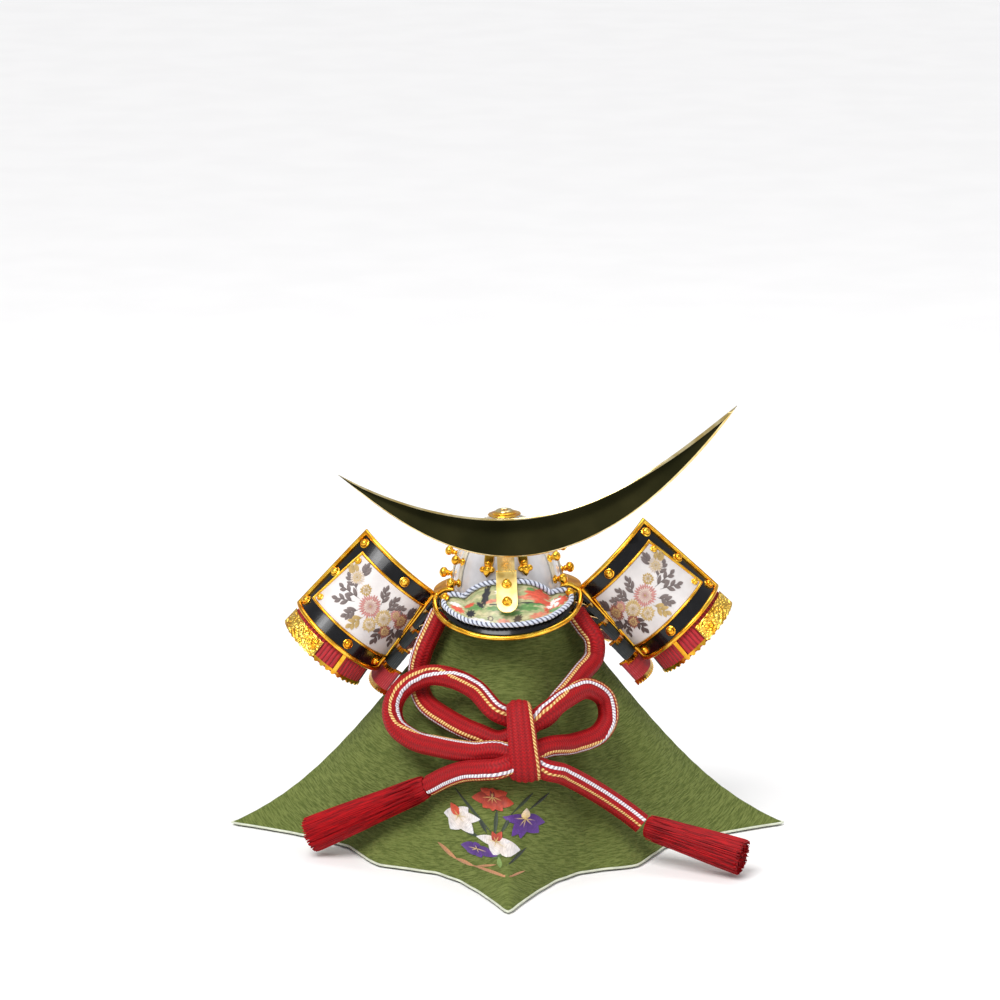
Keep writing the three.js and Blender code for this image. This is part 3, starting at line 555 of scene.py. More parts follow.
def dyed(name, roughness=0.6, depth=0.12, grain=1.6, **more):
    """A finish whose colour is the piece's own dye, with threads or grain over it."""
    f = Finish(name)
    along, across, _ = f.place()
    thread = f.noise(f.vector(along * 0.5, across * grain, 1.0), 1.0, 3.0)
    pits = f.noise(f.where(), 1.6, 3.0)
    colour = f.blend(thread.step(0.3, 0.75) * 0.35, f.dye(), (0.0, 0.0, 0.0), "MULTIPLY")
    return f.done(
        Base_Color=colour,
        Roughness=pits * 0.12 + (roughness - 0.06),
        Normal=f.bump(thread * 0.6 + pits * 0.4, depth, 0.8),
        **more,
    )


def embossed_leather():
    """White leather with a fine pebble grain and a soft pearly gloss."""
    f = Finish("white_leather")
    at = f.where()
    pebble = f.cells(at, 1.5, "SMOOTH_F1")
    cloud = f.noise(at, 0.05, 3.0)
    return f.done(
        Base_Color=f.blend(cloud.step(0.3, 0.7), paint(206, 200, 198), paint(228, 222, 219)),
        Roughness=pebble * 0.14 + 0.4,
        Sheen_Weight=0.15,
        Normal=f.bump(pebble, 0.08, 0.5),
    )


def stand_wood():
    f = Finish("pale_wood")
    rings = f.noise(f.where((0.02, 0.3, 0.3)), 1.0, 4.0, 0.6)
    colour = f.blend(rings.step(0.3, 0.7), paint(176, 140, 92), paint(214, 184, 136))
    return f.done(Base_Color=colour, Roughness=rings * 0.2 + 0.42, Normal=f.bump(rings, 0.1, 0.4))


GOLD = gilt("gilt_brass", paint(236, 160, 34), paint(255, 206, 74), 0.24)
PALE_GOLD = gilt("pale_gilt", paint(226, 196, 120), paint(250, 232, 178), 0.16)
CARVED_GOLD = gilt("chased_gilt", paint(226, 158, 40), paint(255, 220, 104), 0.22, 0.04, 0.25)
SILVER = gilt("old_silver", paint(186, 176, 152), paint(232, 226, 206), 0.24)
IVORY = plain("ivory_lacquer", paint(226, 218, 196), 0.28, depth=0.01)
WHITE_LACQUER = plain(
    "white_lacquer", paint(226, 224, 226), 0.2, vary=0.04, depth=0.006, Coat_Weight=0.6,
    Coat_Roughness=0.05,
)
BLACK_LACQUER = plain(
    "black_lacquer", paint(9, 9, 11), 0.22, vary=0.3, depth=0.006, Coat_Weight=0.25,
    Coat_Roughness=0.05, Specular_IOR_Level=0.3,
)
CREPE = crepe_cloth()
HEM = plain("pale_hem", paint(206, 210, 190), 0.8, depth=0.08)
BRAID = braided_cord()
FRINGE = fringe_silk()
BRASS_PAINTED_REFLECTION = crest_brass()
LEATHER = embossed_leather()
PRINT = dyed("printed_leather", 0.42, 0.05, 1.2, Coat_Weight=0.15, Coat_Roughness=0.2)
STITCH = dyed("stitched_silk", 0.55, 0.16, 3.4, Sheen_Weight=0.3)
LACING = dyed("silk_lacing", 0.66, 0.18, 2.4, Sheen_Weight=0.2)
WOOD = stand_wood()
PADDING = plain("cotton_padding", paint(205, 196, 178), 0.9, vary=0.08, depth=0.25)


# The cloth.
CLOTH_INSET = 1.5 + 12.5 * math.sin(ROLL)
OVER_HEAD = 0.25
# The hem's reach from the axis as a share of its corners', by degrees from a corner: read every
# half degree, mirrored past both ends, then blurred.
HEM_TURNS = [0, 4, 8, 15, 25, 35, 45]
HEM_REACH = [1, 0.88, 0.79, 0.69, 0.63, 0.64, 0.67]
HEM_FINE = np.linspace(0, 45, 91)
HEM_CURVE = np.interp(np.abs(np.linspace(-4, 49, 107)), HEM_TURNS, HEM_REACH)
HEM_CURVE[99:] = HEM_CURVE[90:98][::-1]
HEM_BLUR = np.hanning(11)[1:-1] / np.hanning(11).sum()
HEM_CURVE = np.convolve(HEM_CURVE, HEM_BLUR, "same")[8:99]
HEM_CURVE[:5] += (HEM_REACH[0] - HEM_CURVE[0]) * np.linspace(1, 0, 5)
CLOTH_LOW = 1.6
# Folds: azimuth, half width in degrees, depth in millimetres and the fall where each is deepest.
FOLDS = [
    (33, 4, -5.0, 0.6),
    (44, 6, 3.0, 0.68),
    (-40, 5, -4.2, 0.64),
    (-53, 6, 2.8, 0.7),
    (66, 6, -1.6, 0.7),
    (-72, 6, -1.4, 0.6),
    (118, 6, -2.2, 0.65),
    (148, 7, 1.6, 0.7),
    (-126, 6, -2.2, 0.68),
    (-155, 7, 1.4, 0.62),
]


BOWL = np.array([28.5, 31.0, 41.0])  # its half width, half depth and height
CENTRE = np.array([0, 0, RIM_HEIGHT])


def bowl_at(azimuth, rise, off=0.0):
    """The bowl's surface: an azimuth and a rise above its rim, standing off by a distance."""
    around, up = np.radians(azimuth), np.radians(rise)
    return stack(
        (BOWL[0] + off) * np.sin(around) * np.cos(up),
        -(BOWL[1] + off) * np.cos(around) * np.cos(up),
        RIM_HEIGHT + (BOWL[2] + off) * np.sin(up),
    )


def cloth_at(azimuth, v):
    """The square cloth: over the padded head to v = 0.25, then down to the hem. Its radius grows
    steadily with the fall and flares at the hem, whose corners reach out along the floor."""
    azimuth, v = np.broadcast_arrays(np.asarray(azimuth, float), np.asarray(v, float))
    over = bowl_at(azimuth, 90 * (1 - np.minimum(v / OVER_HEAD, 1)), -CLOTH_INSET)
    fall = np.clip((v - OVER_HEAD) / (1 - OVER_HEAD), 0, 1)
    rim = bowl_at(azimuth, 0, -CLOTH_INSET)
    start = np.hypot(rim[..., 0], rim[..., 1])
    free = np.maximum(0, fall - 0.03) / 0.97
    grown = 0.86 * free**1.12 + 0.14 * free**8
    turn = np.abs((azimuth + 45) % 90 - 45)
    hem = 146 * np.interp(turn, HEM_FINE, HEM_CURVE)
    round_reach = 118 + 24 * np.cos(np.radians(4 * azimuth))
    radius = mix(start, mix(round_reach, hem, fall**4), grown)
    for place, width, depth, deepest in FOLDS:
        away = (azimuth - place + 180) % 360 - 180
        radius = radius + depth * np.exp(-((away / width) ** 2) - ((fall - deepest) / 0.26) ** 2)
    free_fall = stack(
        radius * rim[..., 0] / start,
        radius * rim[..., 1] / start,
        mix(RIM_HEIGHT, CLOTH_LOW, fall),
    )
    return np.where((v < OVER_HEAD)[..., None], over, free_fall)


def on_cloth(x, z, lift):
    """Points on the front of the cloth at a place across and a height, standing off by lift."""
    x, z = np.broadcast_arrays(np.asarray(x, float), np.asarray(z, float))
    v = OVER_HEAD + (1 - OVER_HEAD) * (RIM_HEIGHT - z) / (RIM_HEIGHT - CLOTH_LOW)
    low, high = np.full(x.shape, -80.0), np.full(x.shape, 80.0)
    for _ in range(24):
        middle = (low + high) / 2
        short = cloth_at(middle, v)[..., 0] < x
        low, high = np.where(short, middle, low), np.where(short, high, middle)
    azimuth = (low + high) / 2
    here = cloth_at(azimuth, v)
    around = cloth_at(azimuth + 0.3, v) - cloth_at(azimuth - 0.3, v)
    down = cloth_at(azimuth, v + 0.002) - cloth_at(azimuth, v - 0.002)
    return here + unit(np.cross(down, around)) * np.asarray(lift)[..., None]


def drape_cloth():
    """The cloth as one sheet, with its flow the place on the flat square."""
    columns = 280
    share = 4 * np.linspace(0, 1, columns, endpoint=False)
    quarter = np.floor(share + 0.5)
    off = share - quarter
    azimuth = 90 * (quarter + 0.5 * bent(2 * off, 1.5))
    v = np.concatenate([np.linspace(0.012, OVER_HEAD, 12), np.linspace(0.272, 1, 56)])
    around, down = np.meshgrid(azimuth, v, indexing="ij")
    surface = cloth_at(around, down)
    run = np.linalg.norm(np.diff(surface, axis=1), axis=-1)
    run = np.concatenate([np.zeros((columns, 1)), np.cumsum(run, axis=1)], 1)
    x, y = surface[..., 0].copy(), surface[..., 1].copy()
    flow = stack(x, y, run)
    crease = np.sin(run * 0.55 + 2.0 * np.sin(x * 0.07) + np.sin(y * 0.09))
    surface[..., 2] += 0.12 * crease * smooth(0.3, 0.4, down) * (1 - smooth(0.97, 1.0, down))
    pile = Pile()
    pile.shell(surface, 0.9, wrap=True, out=-1, rim_look=1, flow=flow)
    hem = surface[:, -1]
    hem_along = tangents(hem, closed=True)
    hem_side = unit(np.cross(hem_along, Z))
    pile.sweep(hem, hem_side, np.cross(hem_side, hem_along), circle(0.6, 10), closed=True, look=1)
    cloth = pile.build("cloth", [CREPE, HEM], ["drape_cloth"], roll=False)
    return cloth


# The cords. Each runs from under the helmet through the knot, round the far loop and back
# through the knot to its own tassel.
CORD = 10.5
NECK_LEFT = [
    (-35, -17, 121), (-39, -20, 113), (-44, -24, 102.5), (-46.5, -25, 91),
    (-43.5, -38, 80), (-30, -55, 74), (-15, -70, 71), (-2.8, -76.3, 69.4),
]
LOOP_LEFT = [
    (-4.5, -76, 84), (-16.6, -63, 92.5), (-29.2, -51.5, 95.5), (-41, -45.5, 95),
    (-53.5, -42, 88), (-59.4, -41, 77.5), (-58, -45, 68.5), (-49, -53, 63),
    (-35.2, -65, 62.5), (-17, -81.5, 64.5), (-4.5, -87, 66.5),
]
TAIL_LEFT = [
    (-4.4, -97.5, 61), (-12, -94.3, 59.2), (-22, -85.5, 55.8), (-31, -75.6, 49.9),
    (-39.6, -67.3, 42.9),
]
NECK_RIGHT = [
    (35, -17, 121), (40, -20, 114.5), (44.6, -23, 108.5), (44.8, -25, 99.8),
    (38, -36, 93.5), (28, -53, 86), (16, -69.1, 78.2),
]
LOOP_RIGHT = [
    (19.5, -77.5, 84.5), (29.2, -67.5, 89), (40.6, -54, 90.5), (50, -46, 82.8),
    (51.7, -48, 73.5), (46.8, -56, 67), (33.8, -67, 65), (19.5, -82.5, 67.5),
]
TAIL_RIGHT = [(19.3, -92, 58.5), (28, -84.5, 54), (46, -71, 40), (61, -65.5, 28), (69, -67, 22)]
TO_CAMERA = unit(np.array([0.0, -0.96, 0.28]))
# Where the gold and the white line lie round each stretch, in degrees from the side that faces
# the front: share of the stretch, gold, white.
LINES = {
    "neck_left": [(0, 38, 66), (0.5, 34, 66), (1, 30, 62)],
    "loop_right": [(0, -14, -46), (0.12, -22, -48), (0.2, -60, -34), (0.5, -64, -32),
                   (0.62, -58, -40), (0.7, -38, -62), (1, -36, -66)],
    "tail_left": [(0, -62, -34), (1, -66, -30)],
    "neck_right": [(0, 36, 66), (1, 38, 64)],
    "loop_left": [(0, 4, 38), (0.2, 2, 36), (0.28, 38, 4), (0.42, 26, -14), (0.52, 10, -36),
                  (0.62, -40, -64), (0.75, -84, -62), (1, -88, -64)],
    "tail_right": [(0, 16, -24), (1, 16, -24)],
}


def line_angles(name, count):
    rows = np.array(LINES[name], float)
    place = np.linspace(0, 1, count)
    return np.stack([np.interp(place, rows[:, 0], rows[:, k]) for k in (1, 2)], -1)


def braid_rows(across, runs):
    """The lengthwise rows of a braid and the slanting stitches on them, 0 to 1."""
    row = np.abs(np.cos(across))
    return row, np.abs(np.sin(runs * 2.1 + 0.8 * np.sign(np.sin(across))))


def braid_cord(name, stretches, nodes, tassel):
    """A braided cord: a round tube in eight lengthwise rows of slanting stitches, with its gold and
    white lines, and painted shade in the grooves between rows, told by the dye. Its flow is the run
    along it and the turn round it."""
    route = np.concatenate([np.asarray(points, float) for _, points in stretches])
    ends = np.cumsum([len(points) for _, points in stretches])
    path = spline(route, 760)
    run = run_of(path)
    nearest = np.array([np.argmin(np.linalg.norm(path - p, axis=1)) for p in route])
    marks, angles = [], []
    first = 0
    for (stretch, _), end in zip(stretches, ends):
        marks.append(np.linspace(run[nearest[first]], run[nearest[end - 1]], 30))
        angles.append(line_angles(stretch, 30))
        first = end
    marks, angles = np.concatenate(marks), np.concatenate(angles)
    gold_turn, white_turn = (np.radians(np.interp(run, marks, angles[:, k])) for k in (0, 1))
    along = tangents(path)
    front = unit(TO_CAMERA - along * (along @ TO_CAMERA)[:, None])
    across = np.cross(along, front)
    turns, runs = np.meshgrid(full_turn(56), run, indexing="xy")

    def line(centre, width):
        away = (turns - centre[:, None] + np.pi) % (2 * np.pi) - np.pi
        return 1 - smooth(width * 0.75, width * 1.25, np.abs(away))

    gold, white = line(gold_turn, 0.15), line(white_turn, 0.17)
    row, stitch = braid_rows(turns * 4, runs)
    relief = 0.42 * row**0.6 + 0.14 * stitch * row + 0.34 * np.maximum(gold, white)
    profile = polar(CORD / 2 - 0.42 + relief, turns)
    # The dye's third part paints shade into the grooves between rows.
    flow, dye = stack(runs, np.cos(turns), np.sin(turns)), stack(gold, white, 1 - row)
    pile = Pile()
    pile.sweep(path, front, across, profile, flow=flow, dye=dye)
    cord = pile.build(name, BRAID, nodes, roll=False)
    return cord


# Tassels: where each cord ends and where the cut ends of its fringe lie.
TASSELS = {
    "tassel_left": ((-41.6, -66, 41.6), (-101, -50, 11)),
    "tassel_right": ((71.4, -67.8, 20.9), (119, -88, 11)),
}
TASSEL_PLACES = [0, 0.04, 0.3, 0.7, 0.97]
TASSEL_RADII = [0.62, 0.7, 0.74, 0.88, 0.96]


def fringe_tassel(name):
    """A core of gathered silk and the loose threads over it, which spread to the cut ends."""
    start, end = (np.array(p, float) for p in TASSELS[name])
    axis = end - start
    length = np.linalg.norm(axis)
    forward = axis / length
    side = unit(np.cross(Z, forward))
    up = np.cross(forward, side)
    pile = Pile()
    places = np.linspace(0, 0.96, 60)
    radii = 9.0 * np.interp(places, TASSEL_PLACES, TASSEL_RADII)
    turns, rows = np.meshgrid(full_turn(96), places, indexing="xy")
    strand = np.sin(turns * 31 + 3 * np.sin(rows * 5)) + 0.6 * np.sin(turns * 17 - rows * 6)
    profile = polar(radii[:, None] * (1 + 0.03 * strand) - 0.5, turns)
    core = start + axis * places[:, None]
    pile.sweep(core, side, up, profile, flow=stack(rows * length, turns * 4, 0 * rows))
    ring = circle(1.0, 4)
    for k in range(760):
        inner = k >= 420
        about = rng.uniform(0, 2 * np.pi)
        deep = np.sqrt(rng.uniform(0.0, 1.0)) if inner else rng.uniform(0.96, 1.04)
        first = rng.uniform(0.86, 0.93) if inner else rng.uniform(0.0, 0.5)
        last = rng.uniform(0.965, 1.02)
        t = np.linspace(first, last, 3 if inner else 7)
        reach = 9.2 * np.interp(t, TASSEL_PLACES, TASSEL_RADII) * deep
        wander = about + rng.uniform(-0.12, 0.12) * (t - first)
        line = start + axis * t[:, None]
        line = line + side * (reach * np.cos(wander))[:, None]
        line = line + up * (reach * np.sin(wander))[:, None]
        line[:, 2] = np.maximum(line[:, 2], 1.0)
        thick = np.full(len(t), 0.3)
        thick[0] = 0.1
        flow = np.broadcast_to(stack(t * length, 0.37 * k, 0 * t)[:, None], (len(t), 4, 3))
        pile.sweep(line, side, up, ring * thick[:, None, None], flow=flow)
    return pile.build(f"fringe_{name[7:]}", FRINGE, [name], roll=False)


def bow_knot():
    """The wrap of the knot: a broad braided band led once round, upright, its rows lengthwise
    and its gold line down the right edge."""
    centre = np.array([7.2, -86, 72.0])
    tilt = math.radians(-25.5)
    t = np.linspace(np.pi, 3 * np.pi, 220, endpoint=False)
    depth, height = 9.4 * bent(np.cos(t), 0.8), 16.6 * bent(np.sin(t), 0.75)
    y = -depth * math.cos(tilt) - height * math.sin(tilt)
    z = -depth * math.sin(tilt) + height * math.cos(tilt)
    path = centre + np.stack([-0.1 * height, y, z], -1)
    along = tangents(path, closed=True)
    out = unit(np.cross(along, X))
    out = out * np.sign(np.einsum("ij,ij->i", out, path - centre))[:, None]
    across = unit(np.cross(out, along))
    across = across * np.sign(across[:, :1])
    turns, runs = np.meshgrid(full_turn(72), run_of(path), indexing="xy")
    wide = (7.4 - 1.0 * np.sin(t))[:, None]
    x, lift = wide * bent(np.cos(turns), 0.95), 4.4 * bent(np.sin(turns), 0.95)
    row, stitch = braid_rows(x * 0.95, runs)
    gold = (1 - smooth(0.5, 0.9, np.abs(x - wide + 1.5))) * (lift > 0)
    relief = 0.5 * row**0.6 + 0.16 * stitch * row + 0.5 * gold
    profile = stack(x, lift + np.sign(lift) * (relief - 0.4))
    # The dye's third part paints shade into the grooves between the band's rows.
    flow, dye = stack(runs, np.cos(x * 0.43), np.sin(x * 0.43)), stack(gold, 0 * gold, 1 - row)
    pile = Pile()
    pile.sweep(path, across, out, profile, closed=True, flow=flow, dye=dye)
    return pile.build("knot", BRAID, ["bow_knot"], roll=False)


tassel_pieces = {name: fringe_tassel(name) for name in TASSELS}
braid_cord(
    "cord_to_left_tassel",
    [("neck_left", NECK_LEFT), ("loop_right", LOOP_RIGHT), ("tail_left", TAIL_LEFT)],
    ["cord_neck_left", "cord_loop_right", "cord_tail_left"],
    tassel_pieces["tassel_left"],
)
braid_cord(
    "cord_to_right_tassel",
    [("neck_right", NECK_RIGHT), ("loop_left", LOOP_LEFT), ("tail_right", TAIL_RIGHT)],
    ["cord_neck_right", "cord_loop_left", "cord_tail_right"],
    tassel_pieces["tassel_right"],
)
bow_knot()
drape_cloth()


# The bowl and what is fastened to it.
def bowl_normal(azimuth, rise):
    return unit((bowl_at(azimuth, rise) - CENTRE) / BOWL**2)


def rounded(width, height):
    """A flat bar's section of 16 sides: a superellipse whose foot is at height 0."""
    turn = full_turn(16)
    x, y = bent(np.cos(turn), 0.45), bent(np.sin(turn), 0.45)
    return stack(x * width / 2, (y + 1) * height / 2)


def bowl_shell():
    """White lacquered bowl, a smooth shell under the ribs."""
    u, v = grid(132, 28, wrap=True)
    azimuth, rise = 360 * u, 89.2 * v
    pile = Pile()
    pile.shell(bowl_at(azimuth, rise), 1.2, wrap=True)
    pile.build("bowl_shell", WHITE_LACQUER, ["bowl"])


KNOB = [
    (2.2, 0.0), (2.3, 0.5), (1.9, 0.8), (1.3, 1.2), (1.2, 1.9), (1.6, 2.3), (1.65, 2.7),
    (1.3, 2.95), (1.9, 3.3), (2.55, 4.0), (2.8, 4.9), (2.62, 5.8), (2.0, 6.6), (1.1, 7.1),
    (0.1, 7.3),
]


# Each rib's knobs: rise on the bowl, size.
KNOB_ROWS = [(13, 1.0), (29, 0.93), (45, 0.8)]


def strip_on_bowl(pile, azimuth, low, width, taper=1.0):
    """A flat bar that lies up the bowl, from a rise to near its top."""
    rise = np.linspace(low, 70, 48)
    up = bowl_normal(azimuth, rise)
    path = bowl_at(azimuth, rise) + up * 0.3
    side = unit(np.cross(tangents(path), up))
    section = np.broadcast_to(rounded(width, 1.0), (48, 16, 2)).copy()
    section[..., 0] *= np.broadcast_to(taper, 48)[:, None]
    pile.sweep(path, side, up, section)


def ribs():
    for k, azimuth in enumerate([-140, -100, -60, 60, 100, 140, 180]):
        pile = Pile()
        strip_on_bowl(pile, azimuth, 10, 3.4)
        for rise, size in KNOB_ROWS:
            normal = bowl_normal(azimuth, rise)
            foot = bowl_at(azimuth, rise) + normal * 0.9
            pile.lathe(np.array(KNOB) * size, foot, normal, 20, look=1)
        pile.build(f"ridge_{k + 1}", [IVORY, GOLD], [f"rib_{k + 1}"])


def spears():
    """Gilt strips at the front that end in a three-lobed point."""
    for name, side in (("left", -1), ("right", 1)):
        azimuth = side * 21
        pile = Pile()
        taper = mix(0.75, 1.0, smooth(0, 0.15, np.linspace(0, 1, 48)))
        strip_on_bowl(pile, azimuth, 27, 5.2, taper)
        normal = bowl_normal(azimuth, 26)
        centre = bowl_at(azimuth, 26) + normal * 1.9
        up = unit(bowl_at(azimuth, 27) - bowl_at(azimuth, 25))
        across = np.cross(up, normal)
        pile.ball(centre, 2.5, squash=0.75, axis=normal)
        for way in (-2.5, 2.5):
            pile.ball(centre + across * way + up * 0.4, 1.7, squash=0.8, axis=normal)
        tip = [(1.9, 0.0), (1.7, 0.8), (1.1, 1.6), (0.4, 2.3), (0.05, 2.6)]
        pile.lathe(tip, centre - up * 1.2, -up, 16)
        pile.ball(centre + up * 3.2, 1.5, squash=0.8, axis=normal)
        pile.build(f"gilt_strip_{name}", GOLD, [f"spear_{name}"])


def turned_ring(pile, profile, foot, sides, look=0, petals=0):
    """A closed profile of (radius, height) pairs led round the upright axis. With petals, its
    outer part is waved."""
    radius, height = np.asarray(profile, float).T
    turn = full_turn(sides)[:, None]
    wave = 1 + 0.035 * np.abs(np.cos(turn * petals / 2)) * (radius > 5) * (petals > 0)
    points = stack(radius * wave * np.cos(turn), radius * wave * np.sin(turn), foot + height)
    pile.add(points, [lattice(sides, len(radius), True, True)], look)


def crown_fitting():
    """The stepped ring round the hole in the bowl's top: petals, a plain step, a raised lip."""
    foot = RIM_HEIGHT + BOWL[2] + 0.3
    pile = Pile()
    petals = [(5.4, 0), (8.0, 0), (8.4, 0.2), (8.2, 0.6), (7.0, 0.8), (5.4, 0.85)]
    drum = [(3.6, 0.7), (6.1, 0.7), (6.3, 0.9), (6.2, 1.4), (5.6, 1.7), (3.6, 1.75)]
    collar = [(2.2, 1.6), (4.6, 1.6), (4.7, 2.0), (4.3, 2.5), (3.8, 2.75), (2.7, 2.7), (2.2, 2.3)]
    turned_ring(pile, petals, foot, 144, petals=16)
    turned_ring(pile, drum, foot, 96)
    turned_ring(pile, collar, foot, 96, 1)
    pile.build("crown_ring", [GOLD, PALE_GOLD], ["crown_fitting"])


def rim_band():
    """The gilt flange round the sides and back of the bowl."""
    u, v = grid(200, 8)
    azimuth = mix(78, 282, u)
    inner = bowl_at(azimuth, 8, 0.6)
    around = np.radians(azimuth)
    outer = stack(38.6 * np.sin(around), -38.6 * np.cos(around), inner[..., 2] - 3.4)
    pile = Pile()
    pile.shell(mix(inner, outer, v[..., None]), 1.2, out=-1)
    finish = gilt("rubbed_gilt", paint(196, 128, 24), paint(232, 168, 48), 0.5)
    pile.build("bowl_flange", finish, ["rim_flange"])


# The visor.
VISOR_HALF = 35.6
# How high the visor's root rises between its ends and its middle, by the share of its half width,
# averaged over 0.07 of it.
ROOT_ACROSS = [0, 0.19, 0.33, 0.46, 0.55, 0.61, 0.7, 0.8, 0.88, 0.95, 1]
ROOT_RISE = [1, 0.97, 0.87, 0.65, 0.38, 0.2, 0.28, 0.34, 0.28, 0.1, 0]
ROOT_FRONT = 1.5 + 31 * math.sqrt(1 - (14.8 / 41) ** 2)
ROOT_FINE = np.linspace(0, 1, 101)
ROOT_CURVE = np.convolve(
    np.interp(np.linspace(-0.08, 1.08, 117), ROOT_ACROSS, ROOT_RISE), np.ones(7) / 7, "same"
)[8:109]


def visor_at(turn, down, grow=0.0):
    """The visor's surface: turn from -90 at its left end to 90 at its right, down from root to
    rim, swelling a little between them."""
    around = np.radians(turn)
    x, ahead = (VISOR_HALF + grow) * np.sin(around), np.cos(around)
    rise = np.interp(np.abs(np.sin(around)), ROOT_FINE, ROOT_CURVE)
    rim = stack(x, -mix(17.5, 54.6, ahead), RIM_HEIGHT + mix(0.8, -8.8, ahead))
    root = stack(x, -mix(17.5, ROOT_FRONT, ahead**3), RIM_HEIGHT + mix(2.4, 14.8, rise))
    raised = 6 * down * (1 - down) * ahead * math.sqrt(0.5)
    return mix(root, rim, np.asarray(down)[..., None]) + stack(0 * raised, -raised, raised)


def visor_normal(turn, down):
    turn, down = np.broadcast_arrays(np.asarray(turn, float), np.asarray(down, float))
    across = visor_at(turn + 0.2, down) - visor_at(turn - 0.2, down)
    along = visor_at(turn, down + 0.002) - visor_at(turn, down - 0.002)
    return unit(np.cross(along, across))


def visor_depth(turn):
    return np.linalg.norm(visor_at(turn, 0.0) - visor_at(turn, 1.0), axis=-1)


def visor_spot(turn, down, lift):
    return visor_at(turn, down) + visor_normal(turn, down) * lift


def visor_end(inset):
    """The turn, in degrees, that lies at an inset from the visor's ends."""
    return 90 - math.degrees(math.acos(1 - inset / VISOR_HALF))


def visor_line(inset, count):
    """A closed line on the visor at an inset from its edge: its turns and downs."""
    around = full_turn(count)
    turn = visor_end(inset) * bent(np.cos(around), 0.5)
    share = inset / visor_depth(turn)
    return turn, mix(share, 1 - share, 0.5 + 0.5 * bent(np.sin(around), 0.5))


def rope(pile, path, up, radius, pitch, light, dark):
    """A closed rope of two plies whose twist shows as slanting light stitches with dark between."""
    along = tangents(path, True)
    side = unit(np.cross(along, up))
    turns, runs = np.meshgrid(full_turn(16), run_of(path), indexing="xy")
    ply = np.abs(np.cos(turns + runs * np.pi / pitch))
    profile = polar(radius * (0.78 + 0.3 * ply**0.7), turns)
    dye = mix(dark, light, smooth(0.36, 0.6, ply)[..., None])
    flow = stack(runs, turns, 0 * runs)
    pile.sweep(path, side, np.cross(side, along), profile, closed=True, flow=flow, dye=dye)


def visor_board():
    u, v = grid(160, 20)
    pile = Pile()
    pile.shell(visor_at(mix(-86, 86, u), v), 1.2, out=-1)
    pile.build("visor_board", BLACK_LACQUER, ["visor_plate"])


def visor_bead():
    """The gilt bead: along the root's ends, round both lobes and along the front edge."""
    off = 1.9

    def beside_root(turn):
        return visor_at(turn, -(off + 0.15) / visor_depth(turn), off)

    turns = [-80, -68, -54, -40, -26, -13, 0, 13, 26, 40, 54, 68, 80]
    points = [beside_root(-t) for t in (48, 55, 61, 67, 76)]
    points.append(visor_at(-88, 0.5, off + 0.3))
    points += [visor_at(t, 1 + off / visor_depth(t), off) for t in turns]
    points.append(visor_at(88, 0.5, off + 0.3))
    points += [beside_root(t) for t in (76, 67, 61, 55, 48)]
    path = spline(points, 300)
    along = tangents(path)
    side = unit(np.cross(along, np.array([0, -0.5, 0.87])))
    up = np.cross(side, along)
    run = np.linspace(0, 1, 300)[:, None, None]
    taper = 0.72 + 0.28 * smooth(0, 0.02, 0.5 - np.abs(run - 0.5))
    pile = Pile()
    pile.sweep(path, side, up, circle(1.3, 20) * taper)
    pile.build("visor_bead", GOLD, ["visor_rim"])


NAVY, SKY, CREAM = paint(26, 34, 74), paint(224, 230, 246), paint(206, 198, 150)
SAGE, CORAL, ROSE = paint(104, 150, 84), paint(226, 92, 66), paint(228, 142, 112)
SLATE, CHALK, UMBER = paint(42, 42, 48), paint(248, 240, 232), paint(78, 60, 38)
STRAP_GOLD = gilt("pale_gilt_strap", paint(238, 206, 120), paint(250, 226, 154), 0.36, 0.004)
# The printed leather's blotches: across from -1 to 1, down from 0 to 1, half sizes, tilt in
# degrees, colour.
BLOTCHES = [
    (0.5, 0.2, 0.22, 0.16, -8, CORAL), (0.62, 0.42, 0.26, 0.12, 6, CORAL),
    (0.86, 0.46, 0.14, 0.24, 0, CORAL), (0.3, 0.36, 0.18, 0.05, 4, ROSE),
    (0.42, 0.52, 0.2, 0.04, -3, SAGE), (0.33, 0.62, 0.22, 0.07, 3, SAGE),
    (-0.2, 0.6, 0.16, 0.06, 2, SAGE), (-0.28, 0.42, 0.14, 0.05, -5, ROSE),
    (-0.55, 0.5, 0.18, 0.1, 12, SAGE), (-0.62, 0.4, 0.1, 0.07, 0, CORAL),
    (-0.82, 0.6, 0.12, 0.14, 10, CORAL), (-0.86, 0.42, 0.1, 0.1, 0, CHALK),
    (-0.34, 0.26, 0.06, 0.3, 24, SLATE), (-0.44, 0.48, 0.08, 0.06, 40, SLATE),
    (-0.6, 0.7, 0.08, 0.13, 0, SLATE), (-0.28, 0.84, 0.05, 0.07, 0, UMBER),
    (-0.28, 0.84, 0.025, 0.04, 0, CREAM), (0.16, 0.86, 0.08, 0.09, -20, UMBER),
    (-0.06, 0.92, 0.12, 0.08, 8, ROSE), (0.5, 0.82, 0.16, 0.08, -6, ROSE),
    (0.68, 0.66, 0.1, 0.14, 0, CORAL), (0.32, 0.49, 0.2, 0.018, 0, SLATE),
    (-0.2, 0.5, 0.12, 0.018, 0, SLATE), (0.05, 0.72, 0.2, 0.06, 0, SAGE),
    (-0.46, 0.9, 0.2, 0.06, 6, CHALK), (0.76, 0.74, 0.12, 0.08, 10, SAGE),
    (0.74, 0.4, 0.05, 0.13, 24, CHALK), (0.82, 0.36, 0.06, 0.06, 0, CHALK),
    (0.68, 0.56, 0.06, 0.07, 0, CHALK), (0.8, 0.54, 0.045, 0.09, -20, CHALK),
    (0.38, 0.12, 0.07, 0.05, 0, SAGE), (-0.1, 0.2, 0.1, 0.08, 0, CHALK),
]


